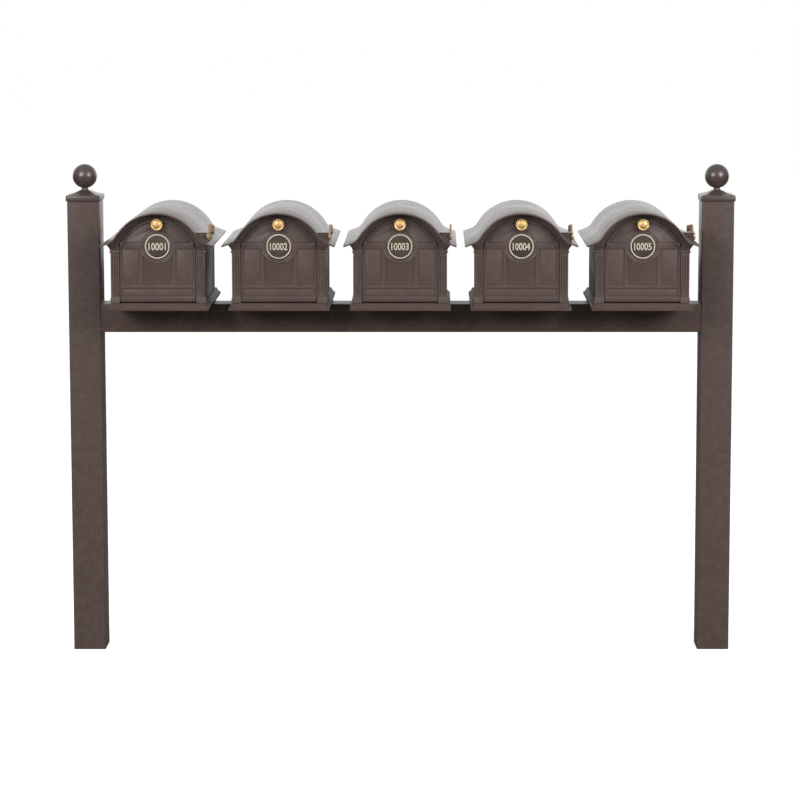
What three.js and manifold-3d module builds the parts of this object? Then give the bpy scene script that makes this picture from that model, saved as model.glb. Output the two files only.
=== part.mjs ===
// Cluster mailbox unit: five cast mailboxes on a crossbeam between two capped posts.
// Millimetres, +Z up, the fronts face -Y, and the origin is on the ground midway between the posts.

import * as THREE from 'three';
import { mergeVertices } from 'three/addons/utils/BufferGeometryUtils.js';
import Module from 'manifold-3d';

// Overall layout
const BOX_COUNT = 5;
const BOX_PITCH = 377;
const END_SPACE = 252; // centre of an end box to the centre of its post
const POST_HEIGHT = 1464;
const POST_SIDE = 102;
const POST_WALL = 3.2;
const BEAM_TOP = 1123;
const BEAM_HEIGHT = 90;
const BEAM_DEPTH = 100;
const BEAM_WALL = 3.2;
const GAP = 0.3; // between pieces that touch
const RUNNING_GAP = 0.4; // round a pin or stud, between faceted surfaces
const CUT = 1; // how far a cutting solid passes the face it cuts

// Post caps
const CAP_WALL = 3.7;
const CAP_SKIRT = 19;
const CAP_OVER_POST = 6; // skirt top above the post's end
const CAP_PYRAMID = 15;
const CAP_ROUNDING = 3; // how far the skirt's top edge draws in
const CAP_FOOT_ROUNDING = 1.5; // how far its lower edge draws in
const CAP_FLAT = [0.25, 0.75]; // straight part of the skirt, as shares of its height
const CAP_SAG = [0.5, 0.45]; // middle of the pyramid's slope, as shares of its run and rise
const NECK_FOOT = [18, 2]; // radius, and height above the skirt top
const NECK_CURVE = [14, 13];
const NECK_LENGTH = 4; // straight part below the narrowest point
const NECK_RADIUS = 10;
const NECK_HEIGHT = 22; // narrowest point above the skirt top
const COLLAR_RADIUS = 17;
const BALL_RADIUS = 38.5;
const BALL_CENTRE = 58; // above the skirt top

// Beam brackets and their screws
const BRACKET_LENGTH = 42;
const BRACKET_PLATE = 3;
const SCREW_INSET = 19;
const SCREW_RADIUS = 3;
const SCREW_HEAD_RADIUS = 6;
const SCREW_HEAD = 4;
const SCREW_CROWN = 0.6; // flat of the head, as a share of its radius, and its height likewise
const SCREW_LENGTH = 14;

// Box: base moulding and body shell
const BASE_WIDTH = 315;
const BASE_DEPTH = 457;
const BASE_LIP = 9;
const BASE_HEIGHT = 23;
const MOULDING_REACH = 11.5; // how far the lip stands out from the ledge above it
const MOULDING_CURVE = [[0.45, 0.4], [0.15, 0.75]]; // shares of the reach, and of the rise from the lip
const BODY_WALL = 4;
const BODY_INSET = 6; // walls in from the ledge's edge
const FLOOR = 5;

// Roof section
const ROOF_OVERHANG = 37; // past the pilasters, and as far past the ledge behind
const ROOF_SHEET = 5;
const CROWN_RADIUS = 148;
const CROWN_CENTRE = 160; // above the box's underside
const FLARE_RADIUS = 42;
const FLARE_ANGLE = THREE.MathUtils.degToRad(60);
const EAVE_ANGLE = THREE.MathUtils.degToRad(20);
const EAVE_LENGTH = 27.5;
const CROWN_STEPS = 8;
const FLARE_STEPS = 4;

// Front frame
const FRAME_DEPTH = 14;
const ARCH_RECESS = 2; // arch face behind the pilasters' faces
const PILASTER_WIDTH = 27;
const FLUTE_WIDTH = 4;
const FLUTE_DEPTH = 1.5;
const FLUTE_SPACING = 7.5;
const FLUTE_COUNT = 3;
const PLINTH_HEIGHT = 19;
const PLINTH_STEP = 2;
const CAPITAL_DROP = 21; // foot of the capital below the plaque's centre
const NECKING_HEIGHT = 7;
const NECKING_STEP = 3;
const ABACUS_HEIGHT = 25;
const ABACUS_STEP = 6;
const ABACUS_FOOT_REACH = 1;
const ABACUS_WAIST = [3.85, 9]; // reach and height of the curve's low point
const ABACUS_LIP = 5;
const CAPITAL_REACH = 11;

// Door
const DOOR_CLEARANCE = 1.5;
const ARCH_BAND = 24; // from the roof's crown to the door's arch
const ARCH_OVERSIZE = 6.5; // the door's arch radius over half its width
const DOOR_RECESS = 2; // rails behind the pilasters' faces
const DOOR_PLATE = 6;
const RELIEF = 2.5;
const STILE = 5.5;
const MULLION = 11;
const MULLION_CENTRE = 50.5;
const BOTTOM_PANEL = [41, 70];
const TALL_PANEL_FOOT = 77;
const MIDDLE_RAIL = 14; // centred on the plaque
const BOSS_RADIUS = 54;
const BOSS_HEIGHT = 4;

// Hinge
const PIN_RADIUS = 3;
const PIN_SEAT = 14; // depth of each end in its pilaster
const KNUCKLE_WALL = 3.5;
const KNUCKLE_OVER_BASE = 2; // air between the base's ledge and the knuckle

// Knob, plaque and catch
const KNOB_DROP = 14; // below the top of the door
const KNOB_RADIUS = 18.5;
const KNOB_REACH = 26.5;
const KNOB_STUD_RADIUS = 3;
const KNOB_STUD = 9;
const KNOB_FOOT = 0.45; // share of the radius
const KNOB_PROFILE = [
  [0.38, 0.45],
  [0.9, 0.6],
  [1, 0.68],
  [1, 0.8],
  [0.85, 0.88],
  [0.6, 0.82],
  [0.35, 0.96],
  [0, 1],
]; // shares of the radius and of the reach
const PLAQUE_DROP = 69; // below the knob
const PLAQUE_RADIUS = 38.5;
const PLAQUE_THICKNESS = 3.5;
const PLAQUE_RIM = 5;
const PLAQUE_RIM_HEIGHT = 1.5;
const PLAQUE_CHAMFER = 1;
const CATCH_X = 36;
const CATCH_WIDTH = 24;
const CATCH_PLATE = 3;
const CATCH_MARGIN = 2; // below the roof, and below the edge of the opening
const MAGNET_HEIGHT = 16;
const MAGNET_DEPTH = 11;

// Flag and its bracket
const BRACKET_REACH = 7; // outer face beyond the crown's radius
const BRACKET_DROP = 8; // top below the centre of the roof's flare
const BRACKET_DEPTH = 40;
const BRACKET_SETBACK = 9; // front face behind the roof's front edge
const PIVOT_DROP = 13; // below the bracket's top
const PIVOT_INSET = 17; // pivot behind the bracket's front face
const PIVOT_STUD_RADIUS = 4;
const PIVOT_STUD = 11;
const FLAG_THICKNESS = 5;
const FLAG_LENGTH = 232;
const FLAG_HUB_RADIUS = 12;
const FLAG_ARM_LENGTH = 34; // pivot to the paddle's front corner
const FLAG_SLOPE_LENGTH = 26; // the paddle's slanted front edge
const FLAG_FRONT_HEIGHT = 44;
const FLAG_REAR_HEIGHT = 27;
const FLAG_NOTCH = 14;

// Places worked out from the sizes above
const POST_X = (BOX_PITCH * (BOX_COUNT - 1)) / 2 + END_SPACE;
const BEAM_HALF = POST_X - POST_SIDE / 2 - GAP;
const BOX_Z = BEAM_TOP + GAP;
const LEDGE_HALF_X = BASE_WIDTH / 2 - MOULDING_REACH;
const LEDGE_HALF_Y = BASE_DEPTH / 2 - MOULDING_REACH;
const BODY_HALF = LEDGE_HALF_X - BODY_INSET;
const ROOF_HALF = LEDGE_HALF_Y + ROOF_OVERHANG;
const CROWN_TOP = CROWN_CENTRE + CROWN_RADIUS;
const PILASTER_FACE = -LEDGE_HALF_Y;
const FRAME_BACK = PILASTER_FACE + FRAME_DEPTH;
const FRAME_FOOT = BASE_HEIGHT + GAP;
const OPENING_HALF = LEDGE_HALF_X - PILASTER_WIDTH;
const DOOR_HALF = OPENING_HALF - DOOR_CLEARANCE;
const RAIL_FACE = PILASTER_FACE + DOOR_RECESS;
const PANEL_FACE = RAIL_FACE + RELIEF;
const DOOR_BACK = PANEL_FACE + DOOR_PLATE;
const DOOR_TOP = CROWN_TOP - ARCH_BAND;
const DOOR_ARCH_RADIUS = DOOR_HALF + ARCH_OVERSIZE;
const ARCH_CENTRE = DOOR_TOP - DOOR_ARCH_RADIUS;
const KNUCKLE_RADIUS = PIN_RADIUS + KNUCKLE_WALL;
const HINGE_Y = RAIL_FACE + KNUCKLE_RADIUS;
const HINGE_Z = BASE_HEIGHT + KNUCKLE_OVER_BASE + KNUCKLE_RADIUS;
const KNOB_HEIGHT = DOOR_TOP - KNOB_DROP;
const PLAQUE_HEIGHT = KNOB_HEIGHT - PLAQUE_DROP;
const CAPITAL_FOOT = PLAQUE_HEIGHT - CAPITAL_DROP;
const CAPITAL_NECK = CAPITAL_FOOT + NECKING_HEIGHT;
const FLARE_X = (CROWN_RADIUS + FLARE_RADIUS) * Math.sin(FLARE_ANGLE);
const FLARE_Z = CROWN_CENTRE + (CROWN_RADIUS + FLARE_RADIUS) * Math.cos(FLARE_ANGLE);
const BRACKET_FACE = CROWN_RADIUS + BRACKET_REACH;
const BRACKET_TOP = FLARE_Z - BRACKET_DROP;
const BRACKET_FRONT = -ROOF_HALF + BRACKET_SETBACK;
const PIVOT_Y = BRACKET_FRONT + PIVOT_INSET;
const PIVOT_HEIGHT = BRACKET_TOP - PIVOT_DROP;

const BRONZE = { color: 0x4b3d39, roughness: 0.35, metalness: 0.3 };
const BRASS = { color: 0xc79a4b, roughness: 0.3, metalness: 1 };
const ENAMEL = { color: 0xd9cbb8, roughness: 0.5, metalness: 0 };
const STEEL = { color: 0x8f9194, roughness: 0.4, metalness: 1 };

const wasm = await Module();
wasm.setup();

const group = new THREE.Group();

// A closed three.js geometry as a solid that can be cut and joined.
function solidOf(geometry) {
  const bare = geometry.clone();
  bare.deleteAttribute('normal');
  bare.deleteAttribute('uv');
  const merged = mergeVertices(bare, 1e-4);
  const mesh = new wasm.Mesh({
    numProp: 3,
    vertProperties: new Float32Array(merged.attributes.position.array),
    triVerts: new Uint32Array(merged.index.array),
  });
  return new wasm.Manifold(mesh);
}

function geometryOf(solid) {
  const mesh = solid.getMesh();
  const geometry = new THREE.BufferGeometry();
  geometry.setAttribute('position', new THREE.BufferAttribute(mesh.vertProperties, 3));
  geometry.setIndex(new THREE.BufferAttribute(mesh.triVerts, 1));
  geometry.computeVertexNormals();
  return geometry;
}

function joined(solids) {
  return solids.reduce((sum, solid) => sum.add(solid));
}

function cutBy(solid, cutters) {
  return cutters.reduce((rest, cutter) => rest.subtract(cutter), solid);
}

function place(parent, name, solid, finish) {
  const mesh = new THREE.Mesh(geometryOf(solid), new THREE.MeshStandardMaterial(finish));
  mesh.name = name;
  parent.add(mesh);
}

// Points of an arc about (x, z); angles are measured from straight up, clockwise.
function arc(x, z, radius, from, to, steps) {
  const points = [];
  for (let i = 0; i <= steps; i += 1) {
    const angle = from + ((to - from) * i) / steps;
    points.push([x + radius * Math.sin(angle), z + radius * Math.cos(angle)]);
  }
  return points;
}

function extruded(points, depth) {
  const shape = new THREE.Shape(points.map(([u, v]) => new THREE.Vector2(u, v)));
  return new THREE.ExtrudeGeometry(shape, { depth, bevelEnabled: false, steps: 1 });
}

// A closed outline in X and Z, filled from y0 back to y1.
function prismY(points, y0, y1) {
  const geometry = extruded(points, y1 - y0);
  geometry.rotateX(Math.PI / 2);
  geometry.translate(0, y1, 0);
  return solidOf(geometry);
}

// A closed outline in Y and Z, filled from x0 to x1.
function prismX(points, x0, x1) {
  const geometry = extruded(points, x1 - x0);
  const turn = new THREE.Matrix4().makeBasis(
    new THREE.Vector3(0, 1, 0),
    new THREE.Vector3(0, 0, 1),
    new THREE.Vector3(1, 0, 0),
  );
  geometry.applyMatrix4(turn);
  geometry.translate(x0, 0, 0);
  return solidOf(geometry);
}

function block([x0, x1], [y0, y1], [z0, z1]) {
  const geometry = new THREE.BoxGeometry(x1 - x0, y1 - y0, z1 - z0);
  geometry.translate((x0 + x1) / 2, (y0 + y1) / 2, (z0 + z1) / 2);
  return solidOf(geometry);
}

// A round bar along X between x0 and x1.
function barX(radius, x0, x1, y, z, sides = 12) {
  const geometry = new THREE.CylinderGeometry(radius, radius, x1 - x0, sides);
  geometry.rotateZ(Math.PI / 2);
  geometry.translate((x0 + x1) / 2, y, z);
  return solidOf(geometry);
}

// A round bar along Y between y0 and y1.
function barY(radius, y0, y1, x, z, sides = 12) {
  const geometry = new THREE.CylinderGeometry(radius, radius, y1 - y0, sides);
  geometry.translate(x, (y0 + y1) / 2, z);
  return solidOf(geometry);
}

// A turned piece about Z: profile points are [radius, height], from the axis back to the axis.
function turned(profile, segments) {
  const points = profile.map(([radius, height]) => new THREE.Vector2(radius, height));
  const geometry = new THREE.LatheGeometry(points, segments);
  geometry.rotateX(Math.PI / 2);
  return geometry;
}

// The same, with its height pointing forward along -Y, standing on the plane y at (0, z).
function turnedForward(profile, segments, y, z) {
  const geometry = turned(profile, segments);
  geometry.rotateX(Math.PI / 2);
  geometry.translate(0, y, z);
  return solidOf(geometry);
}

// A moulded block: a half-profile of [half width, height] carried round all four sides.
function moulded(profile, halfX, halfY, z) {
  const outline = (half) => [
    ...profile.map(([reach, height]) => [half + reach, z + height]),
    ...profile.map(([reach, height]) => [-half - reach, z + height]).reverse(),
  ];
  const far = Math.max(halfX, halfY) * 2;
  return prismY(outline(halfX), -far, far).intersect(prismX(outline(halfY), -far, far));
}

function tube(halfX, halfY, wall, [z0, z1]) {
  const outer = block([-halfX, halfX], [-halfY, halfY], [z0, z1]);
  const inner = block(
    [wall - halfX, halfX - wall],
    [wall - halfY, halfY - wall],
    [z0 - CUT, z1 + CUT],
  );
  return outer.subtract(inner);
}

// ---- Posts, caps and crossbeam ----

function post(side) {
  const half = POST_SIDE / 2;
  return tube(half, half, POST_WALL, [0, POST_HEIGHT]).translate([side * POST_X, 0, 0]);
}

function postCap(side) {
  const half = POST_SIDE / 2 + GAP;
  const foot = POST_HEIGHT + CAP_OVER_POST - CAP_SKIRT;
  const shoulder = CAP_WALL - CAP_ROUNDING;
  const [flatFoot, flatTop] = CAP_FLAT;
  const [sagRun, sagRise] = CAP_SAG;
  const skirt = moulded([
    [CAP_WALL - CAP_FOOT_ROUNDING, 0],
    [CAP_WALL, CAP_SKIRT * flatFoot],
    [CAP_WALL, CAP_SKIRT * flatTop],
    [shoulder, CAP_SKIRT],
    [shoulder + (NECK_RADIUS - half - shoulder) * sagRun, CAP_SKIRT + CAP_PYRAMID * sagRise],
    [NECK_RADIUS - half, CAP_SKIRT + CAP_PYRAMID],
  ], half, half, foot);
  const pocket = block([-half, half], [-half, half], [foot - CUT, POST_HEIGHT + GAP]);
  const top = foot + CAP_SKIRT;
  const [footRadius, footHeight] = NECK_FOOT;
  const [curveRadius, curveHeight] = NECK_CURVE;
  const collarAngle = Math.asin(COLLAR_RADIUS / BALL_RADIUS);
  const ball = arc(0, top + BALL_CENTRE, BALL_RADIUS, Math.PI - collarAngle, 0, 9);
  const knob = solidOf(turned([
    [0, top + footHeight],
    [footRadius, top + footHeight],
    [curveRadius, top + curveHeight],
    [NECK_RADIUS, top + NECK_HEIGHT - NECK_LENGTH],
    [NECK_RADIUS, top + NECK_HEIGHT],
    ...ball.slice(0, -1),
    [0, top + BALL_CENTRE + BALL_RADIUS],
  ], 16));
  return skirt.subtract(pocket).add(knob).translate([side * POST_X, 0, 0]);
}

function crossbeam() {
  const bottom = BEAM_TOP - BEAM_HEIGHT;
  const shell = block(
    [-BEAM_HALF, BEAM_HALF],
    [-BEAM_DEPTH / 2, BEAM_DEPTH / 2],
    [bottom, BEAM_TOP],
  );
  const hollow = block(
    [-BEAM_HALF - CUT, BEAM_HALF + CUT],
    [BEAM_WALL - BEAM_DEPTH / 2, BEAM_DEPTH / 2 - BEAM_WALL],
    [bottom + BEAM_WALL, BEAM_TOP - BEAM_WALL],
  );
  const holes = [-1, 1].map((side) => screwHole(side, bottom - CUT, bottom + BEAM_WALL + CUT));
  return cutBy(shell, [hollow, ...holes]);
}

function screwX(side) {
  return side * (BEAM_HALF - SCREW_INSET);
}

function screwHole(side, z0, z1) {
  const radius = SCREW_RADIUS + RUNNING_GAP;
  const geometry = new THREE.CylinderGeometry(radius, radius, z1 - z0, 12);
  geometry.rotateX(Math.PI / 2);
  geometry.translate(screwX(side), 0, (z0 + z1) / 2);
  return solidOf(geometry);
}

// A channel inside the beam's end, its web flat against the post.
function beamBracket(side) {
  const bottom = BEAM_TOP - BEAM_HEIGHT + BEAM_WALL + GAP;
  const top = BEAM_TOP - BEAM_WALL - GAP;
  const half = BEAM_DEPTH / 2 - BEAM_WALL - GAP;
  const spanX = (from, to) => [side * from, side * to].sort((a, b) => a - b);
  const outer = block(
    spanX(BEAM_HALF - BRACKET_LENGTH, BEAM_HALF),
    [-half, half],
    [bottom, top],
  );
  const inner = block(
    spanX(BEAM_HALF - BRACKET_LENGTH - CUT, BEAM_HALF - BRACKET_PLATE),
    [-half - CUT, half + CUT],
    [bottom + BRACKET_PLATE, top - BRACKET_PLATE],
  );
  const hole = screwHole(side, bottom - CUT, bottom + BRACKET_PLATE + CUT);
  return cutBy(outer, [inner, hole]);
}

function beamScrew(side) {
  const seat = BEAM_TOP - BEAM_HEIGHT - GAP;
  const geometry = turned([
    [0, seat - SCREW_HEAD],
    [SCREW_HEAD_RADIUS * SCREW_CROWN, seat - SCREW_HEAD],
    [SCREW_HEAD_RADIUS, seat - SCREW_HEAD * (1 - SCREW_CROWN)],
    [SCREW_HEAD_RADIUS, seat],
    [SCREW_RADIUS, seat],
    [SCREW_RADIUS, seat + SCREW_LENGTH],
    [0, seat + SCREW_LENGTH],
  ], 12);
  geometry.translate(screwX(side), 0, 0);
  return solidOf(geometry);
}

// ---- One mailbox, about its own centre, with z counted from its underside ----

// The roof's section line from the left eave to the right one, set in from its outer face.
function roofLine(inset) {
  const crown = arc(0, CROWN_CENTRE, CROWN_RADIUS - inset, 0, FLARE_ANGLE, CROWN_STEPS);
  const flare = arc(
    FLARE_X,
    FLARE_Z,
    FLARE_RADIUS + inset,
    Math.PI + FLARE_ANGLE,
    Math.PI + EAVE_ANGLE,
    FLARE_STEPS,
  );
  const [eaveX, eaveZ] = flare[flare.length - 1];
  const tip = [
    eaveX + EAVE_LENGTH * Math.cos(EAVE_ANGLE),
    eaveZ - EAVE_LENGTH * Math.sin(EAVE_ANGLE),
  ];
  const right = [...crown, ...flare.slice(1), tip];
  const left = right.slice(1).map(([x, z]) => [-x, z]).reverse();
  return [...left, ...right];
}

function roof() {
  const section = [...roofLine(0), ...roofLine(ROOF_SHEET).reverse()];
  return prismY(section, -ROOF_HALF, ROOF_HALF);
}

// Everything below the roof, with the gap that touching pieces keep.
function underRoof() {
  const line = roofLine(ROOF_SHEET + GAP);
  const [eaveX] = line[line.length - 1];
  return prismY([...line, [eaveX, -CUT], [-eaveX, -CUT]], -ROOF_HALF, ROOF_HALF);
}

function boxBody() {
  const curve = MOULDING_CURVE.map(([reach, rise]) => [
    MOULDING_REACH * reach,
    BASE_LIP + (BASE_HEIGHT - BASE_LIP) * rise,
  ]);
  const moulding = [[MOULDING_REACH, 0], [MOULDING_REACH, BASE_LIP], ...curve, [0, BASE_HEIGHT]];
  const base = moulded(moulding, LEDGE_HALF_X, LEDGE_HALF_Y, 0);
  const back = LEDGE_HALF_Y - BODY_INSET;
  const half = BODY_HALF;
  const shell = block([-half, half], [FRAME_BACK + GAP, back], [0, CROWN_TOP])
    .intersect(underRoof());
  const room = block(
    [BODY_WALL - half, half - BODY_WALL],
    [FRAME_BACK + BODY_WALL, back - BODY_WALL],
    [FLOOR, CROWN_TOP],
  );
  const mouth = block(
    [BODY_WALL - half, half - BODY_WALL],
    [FRAME_BACK - CUT, FRAME_BACK + BODY_WALL + CUT],
    [BASE_HEIGHT, CROWN_TOP],
  );
  return cutBy(base.add(shell), [room, mouth]);
}

// The door's outline grown by a margin: straight sides under a round arch.
function arched(margin, foot, steps = 16) {
  const half = DOOR_HALF + margin;
  const radius = DOOR_ARCH_RADIUS + margin;
  const spring = Math.asin(half / radius);
  return [[-half, foot], ...arc(0, ARCH_CENTRE, radius, -spring, spring, steps), [half, foot]];
}

function pilaster() {
  const outer = LEDGE_HALF_X;
  const face = PILASTER_FACE;
  const shaft = block([OPENING_HALF, outer], [face, FRAME_BACK], [FRAME_FOOT, CAPITAL_FOOT + CUT]);
  const middle = (OPENING_HALF + outer) / 2;
  const flutes = [];
  for (let i = 0; i < FLUTE_COUNT; i += 1) {
    const x = middle + (i - (FLUTE_COUNT - 1) / 2) * FLUTE_SPACING;
    flutes.push(block(
      [x - FLUTE_WIDTH / 2, x + FLUTE_WIDTH / 2],
      [face - CUT, face + FLUTE_DEPTH],
      [FRAME_FOOT + PLINTH_HEIGHT + FLUTE_SPACING, CAPITAL_FOOT - FLUTE_SPACING],
    ));
  }
  const plinth = block(
    [OPENING_HALF, outer + PLINTH_STEP],
    [face - PLINTH_STEP, FRAME_BACK],
    [FRAME_FOOT, FRAME_FOOT + PLINTH_HEIGHT],
  );
  const necking = block(
    [OPENING_HALF, outer + NECKING_STEP],
    [face - NECKING_STEP, FRAME_BACK],
    [CAPITAL_FOOT, CAPITAL_NECK],
  );
  const [waistReach, waistHeight] = ABACUS_WAIST;
  const top = CAPITAL_NECK + ABACUS_HEIGHT;
  const abacus = prismY([
    [OPENING_HALF, CAPITAL_NECK - CUT],
    [outer + ABACUS_FOOT_REACH, CAPITAL_NECK - CUT],
    [outer + waistReach, CAPITAL_NECK + waistHeight],
    [outer + CAPITAL_REACH, top - ABACUS_LIP],
    [outer + CAPITAL_REACH, top],
    [OPENING_HALF, top],
  ], face - ABACUS_STEP, FRAME_BACK);
  return joined([cutBy(shaft, flutes), plinth, necking, abacus]);
}

function frontFrame() {
  const outer = LEDGE_HALF_X;
  const arch = block(
    [-outer, outer],
    [PILASTER_FACE + ARCH_RECESS, FRAME_BACK],
    [FRAME_FOOT, CROWN_TOP],
  );
  const opening = prismY(
    arched(DOOR_CLEARANCE, -CUT),
    PILASTER_FACE - ABACUS_STEP - CUT,
    FRAME_BACK + CUT,
  );
  const right = pilaster();
  const left = right.mirror([1, 0, 0]);
  const seat = OPENING_HALF + PIN_SEAT;
  const pinSeats = barX(PIN_RADIUS + RUNNING_GAP, -seat, seat, HINGE_Y, HINGE_Z);
  return cutBy(joined([arch, right, left]).intersect(underRoof()), [opening, pinSeats]);
}

function doorPanels() {
  const field = (x0, x1, [z0, z1]) => block([x0, x1], [RAIL_FACE - CUT, PANEL_FACE], [z0, z1]);
  const edge = DOOR_HALF - STILE;
  const inner = MULLION_CENTRE - MULLION / 2;
  const outer = MULLION_CENTRE + MULLION / 2;
  const tall = [TALL_PANEL_FOOT, PLAQUE_HEIGHT - MIDDLE_RAIL / 2];
  const radius = DOOR_ARCH_RADIUS - STILE;
  const spring = Math.acos((PLAQUE_HEIGHT + MIDDLE_RAIL / 2 - ARCH_CENTRE) / radius);
  const tympanum = prismY(
    arc(0, ARCH_CENTRE, radius, -spring, spring, 12),
    RAIL_FACE - CUT,
    PANEL_FACE,
  );
  return [
    field(-edge, -outer, tall),
    field(-inner, inner, tall),
    field(outer, edge, tall),
    field(-edge, edge, BOTTOM_PANEL),
    tympanum,
  ];
}

function door() {
  const slab = prismY(arched(0, HINGE_Z), RAIL_FACE, DOOR_BACK);
  const boss = barY(BOSS_RADIUS, PANEL_FACE - BOSS_HEIGHT, DOOR_BACK, 0, PLAQUE_HEIGHT, 32);
  const knuckle = barX(KNUCKLE_RADIUS, -DOOR_HALF, DOOR_HALF, HINGE_Y, HINGE_Z, 16);
  const pinBore = barX(
    PIN_RADIUS + RUNNING_GAP,
    -DOOR_HALF - CUT,
    DOOR_HALF + CUT,
    HINGE_Y,
    HINGE_Z,
  );
  const studBore = barY(
    KNOB_STUD_RADIUS + RUNNING_GAP,
    RAIL_FACE - CUT,
    DOOR_BACK + CUT,
    0,
    KNOB_HEIGHT,
    16,
  );
  const returns = [-1, 1].map(capitalReturn);
  const relief = cutBy(slab, doorPanels());
  return cutBy(joined([relief, boss, knuckle, ...returns]), [pinBore, studBore]);
}

// The capital's inner half, carried on the door's upper corner.
function capitalReturn(side) {
  const inner = DOOR_HALF - CAPITAL_REACH;
  const span = (from) => [side * from, side * DOOR_HALF].sort((a, b) => a - b);
  const necking = block(
    span(DOOR_HALF - NECKING_STEP),
    [PILASTER_FACE - NECKING_STEP, DOOR_BACK],
    [CAPITAL_FOOT, CAPITAL_NECK],
  );
  const abacus = block(
    span(inner),
    [PILASTER_FACE - ABACUS_STEP, DOOR_BACK],
    [CAPITAL_NECK, CAPITAL_NECK + ABACUS_HEIGHT],
  );
  const under = prismY(arched(0, HINGE_Z), PILASTER_FACE - ABACUS_STEP - CUT, DOOR_BACK);
  return necking.add(abacus).intersect(under);
}

function hingePin() {
  const half = OPENING_HALF + PIN_SEAT - GAP;
  return barX(PIN_RADIUS, -half, half, HINGE_Y, HINGE_Z);
}

function doorKnob() {
  return turnedForward([
    [0, -KNOB_STUD],
    [KNOB_STUD_RADIUS, -KNOB_STUD],
    [KNOB_STUD_RADIUS, GAP],
    [KNOB_RADIUS * KNOB_FOOT, GAP],
    ...KNOB_PROFILE.map(([radius, reach]) => [KNOB_RADIUS * radius, KNOB_REACH * reach]),
  ], 16, PANEL_FACE, KNOB_HEIGHT);
}

function numberPlaque() {
  const rimInner = PLAQUE_RADIUS - PLAQUE_RIM;
  const rimTop = PLAQUE_THICKNESS + PLAQUE_RIM_HEIGHT;
  return turnedForward([
    [0, GAP],
    [PLAQUE_RADIUS, GAP],
    [PLAQUE_RADIUS, rimTop - PLAQUE_CHAMFER],
    [PLAQUE_RADIUS - PLAQUE_CHAMFER, rimTop],
    [rimInner + PLAQUE_CHAMFER, rimTop],
    [rimInner, PLAQUE_THICKNESS],
    [0, PLAQUE_THICKNESS],
  ], 28, PANEL_FACE - BOSS_HEIGHT, PLAQUE_HEIGHT);
}

// A plate on the back of the arch that carries the magnet behind the closed door.
function doorCatch() {
  const outer = CATCH_X + CATCH_WIDTH / 2;
  const roofRadius = CROWN_RADIUS - ROOF_SHEET;
  const openingRadius = DOOR_ARCH_RADIUS + DOOR_CLEARANCE;
  const plateTop = CROWN_CENTRE + Math.sqrt(roofRadius ** 2 - outer ** 2) - CATCH_MARGIN;
  const magnetTop = ARCH_CENTRE + Math.sqrt(openingRadius ** 2 - outer ** 2) - CATCH_MARGIN;
  const magnetFoot = magnetTop - MAGNET_HEIGHT;
  const plateFace = FRAME_BACK + GAP;
  const magnetFace = DOOR_BACK + GAP;
  return prismX([
    [magnetFace, magnetFoot],
    [magnetFace + MAGNET_DEPTH, magnetFoot],
    [magnetFace + MAGNET_DEPTH, magnetTop],
    [plateFace + CATCH_PLATE, magnetTop],
    [plateFace + CATCH_PLATE, plateTop],
    [plateFace, plateTop],
    [plateFace, magnetTop],
    [magnetFace, magnetTop],
  ], CATCH_X - CATCH_WIDTH / 2, outer);
}

function flagBracket() {
  const line = roofLine(-GAP);
  const [eaveX] = line[line.length - 1];
  const rear = BRACKET_FRONT + BRACKET_DEPTH;
  const solid = block([0, BRACKET_FACE], [BRACKET_FRONT, rear], [CROWN_CENTRE, BRACKET_TOP]);
  const roofSpace = prismY(
    [...line, [eaveX, -CUT], [-eaveX, -CUT]],
    BRACKET_FRONT - CUT,
    rear + CUT,
  );
  const studBore = barX(
    PIVOT_STUD_RADIUS + RUNNING_GAP,
    BRACKET_FACE - PIVOT_STUD - CUT,
    BRACKET_FACE + CUT,
    PIVOT_Y,
    PIVOT_HEIGHT,
  );
  return cutBy(solid, [roofSpace, studBore]);
}

// Lying back from its pivot: a round hub, a short arm and a tapering paddle.
function flag() {
  const low = PIVOT_HEIGHT - FLAG_HUB_RADIUS;
  const rear = PIVOT_Y + FLAG_LENGTH - FLAG_HUB_RADIUS;
  const hub = arc(PIVOT_Y, PIVOT_HEIGHT, FLAG_HUB_RADIUS, Math.PI, Math.PI * 2, 8);
  const outline = [
    ...hub,
    [PIVOT_Y + FLAG_ARM_LENGTH, PIVOT_HEIGHT + FLAG_HUB_RADIUS],
    [PIVOT_Y + FLAG_ARM_LENGTH + FLAG_SLOPE_LENGTH, low + FLAG_FRONT_HEIGHT],
    [rear - FLAG_NOTCH, low + FLAG_REAR_HEIGHT],
    [rear, low],
  ];
  const face = BRACKET_FACE + RUNNING_GAP;
  const plate = prismX(outline, face, face + FLAG_THICKNESS);
  const stud = barX(
    PIVOT_STUD_RADIUS,
    BRACKET_FACE - PIVOT_STUD,
    face + FLAG_THICKNESS / 2,
    PIVOT_Y,
    PIVOT_HEIGHT,
  );
  return plate.add(stud);
}

// ---- Assembly ----

for (const [name, side] of [['left', -1], ['right', 1]]) {
  place(group, `${name}_post`, post(side), BRONZE);
  place(group, `${name}_post_cap`, postCap(side), BRONZE);
  place(group, `${name}_beam_bracket`, beamBracket(side), STEEL);
  place(group, `${name}_beam_screw`, beamScrew(side), STEEL);
}
place(group, 'crossbeam', crossbeam(), BRONZE);

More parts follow.
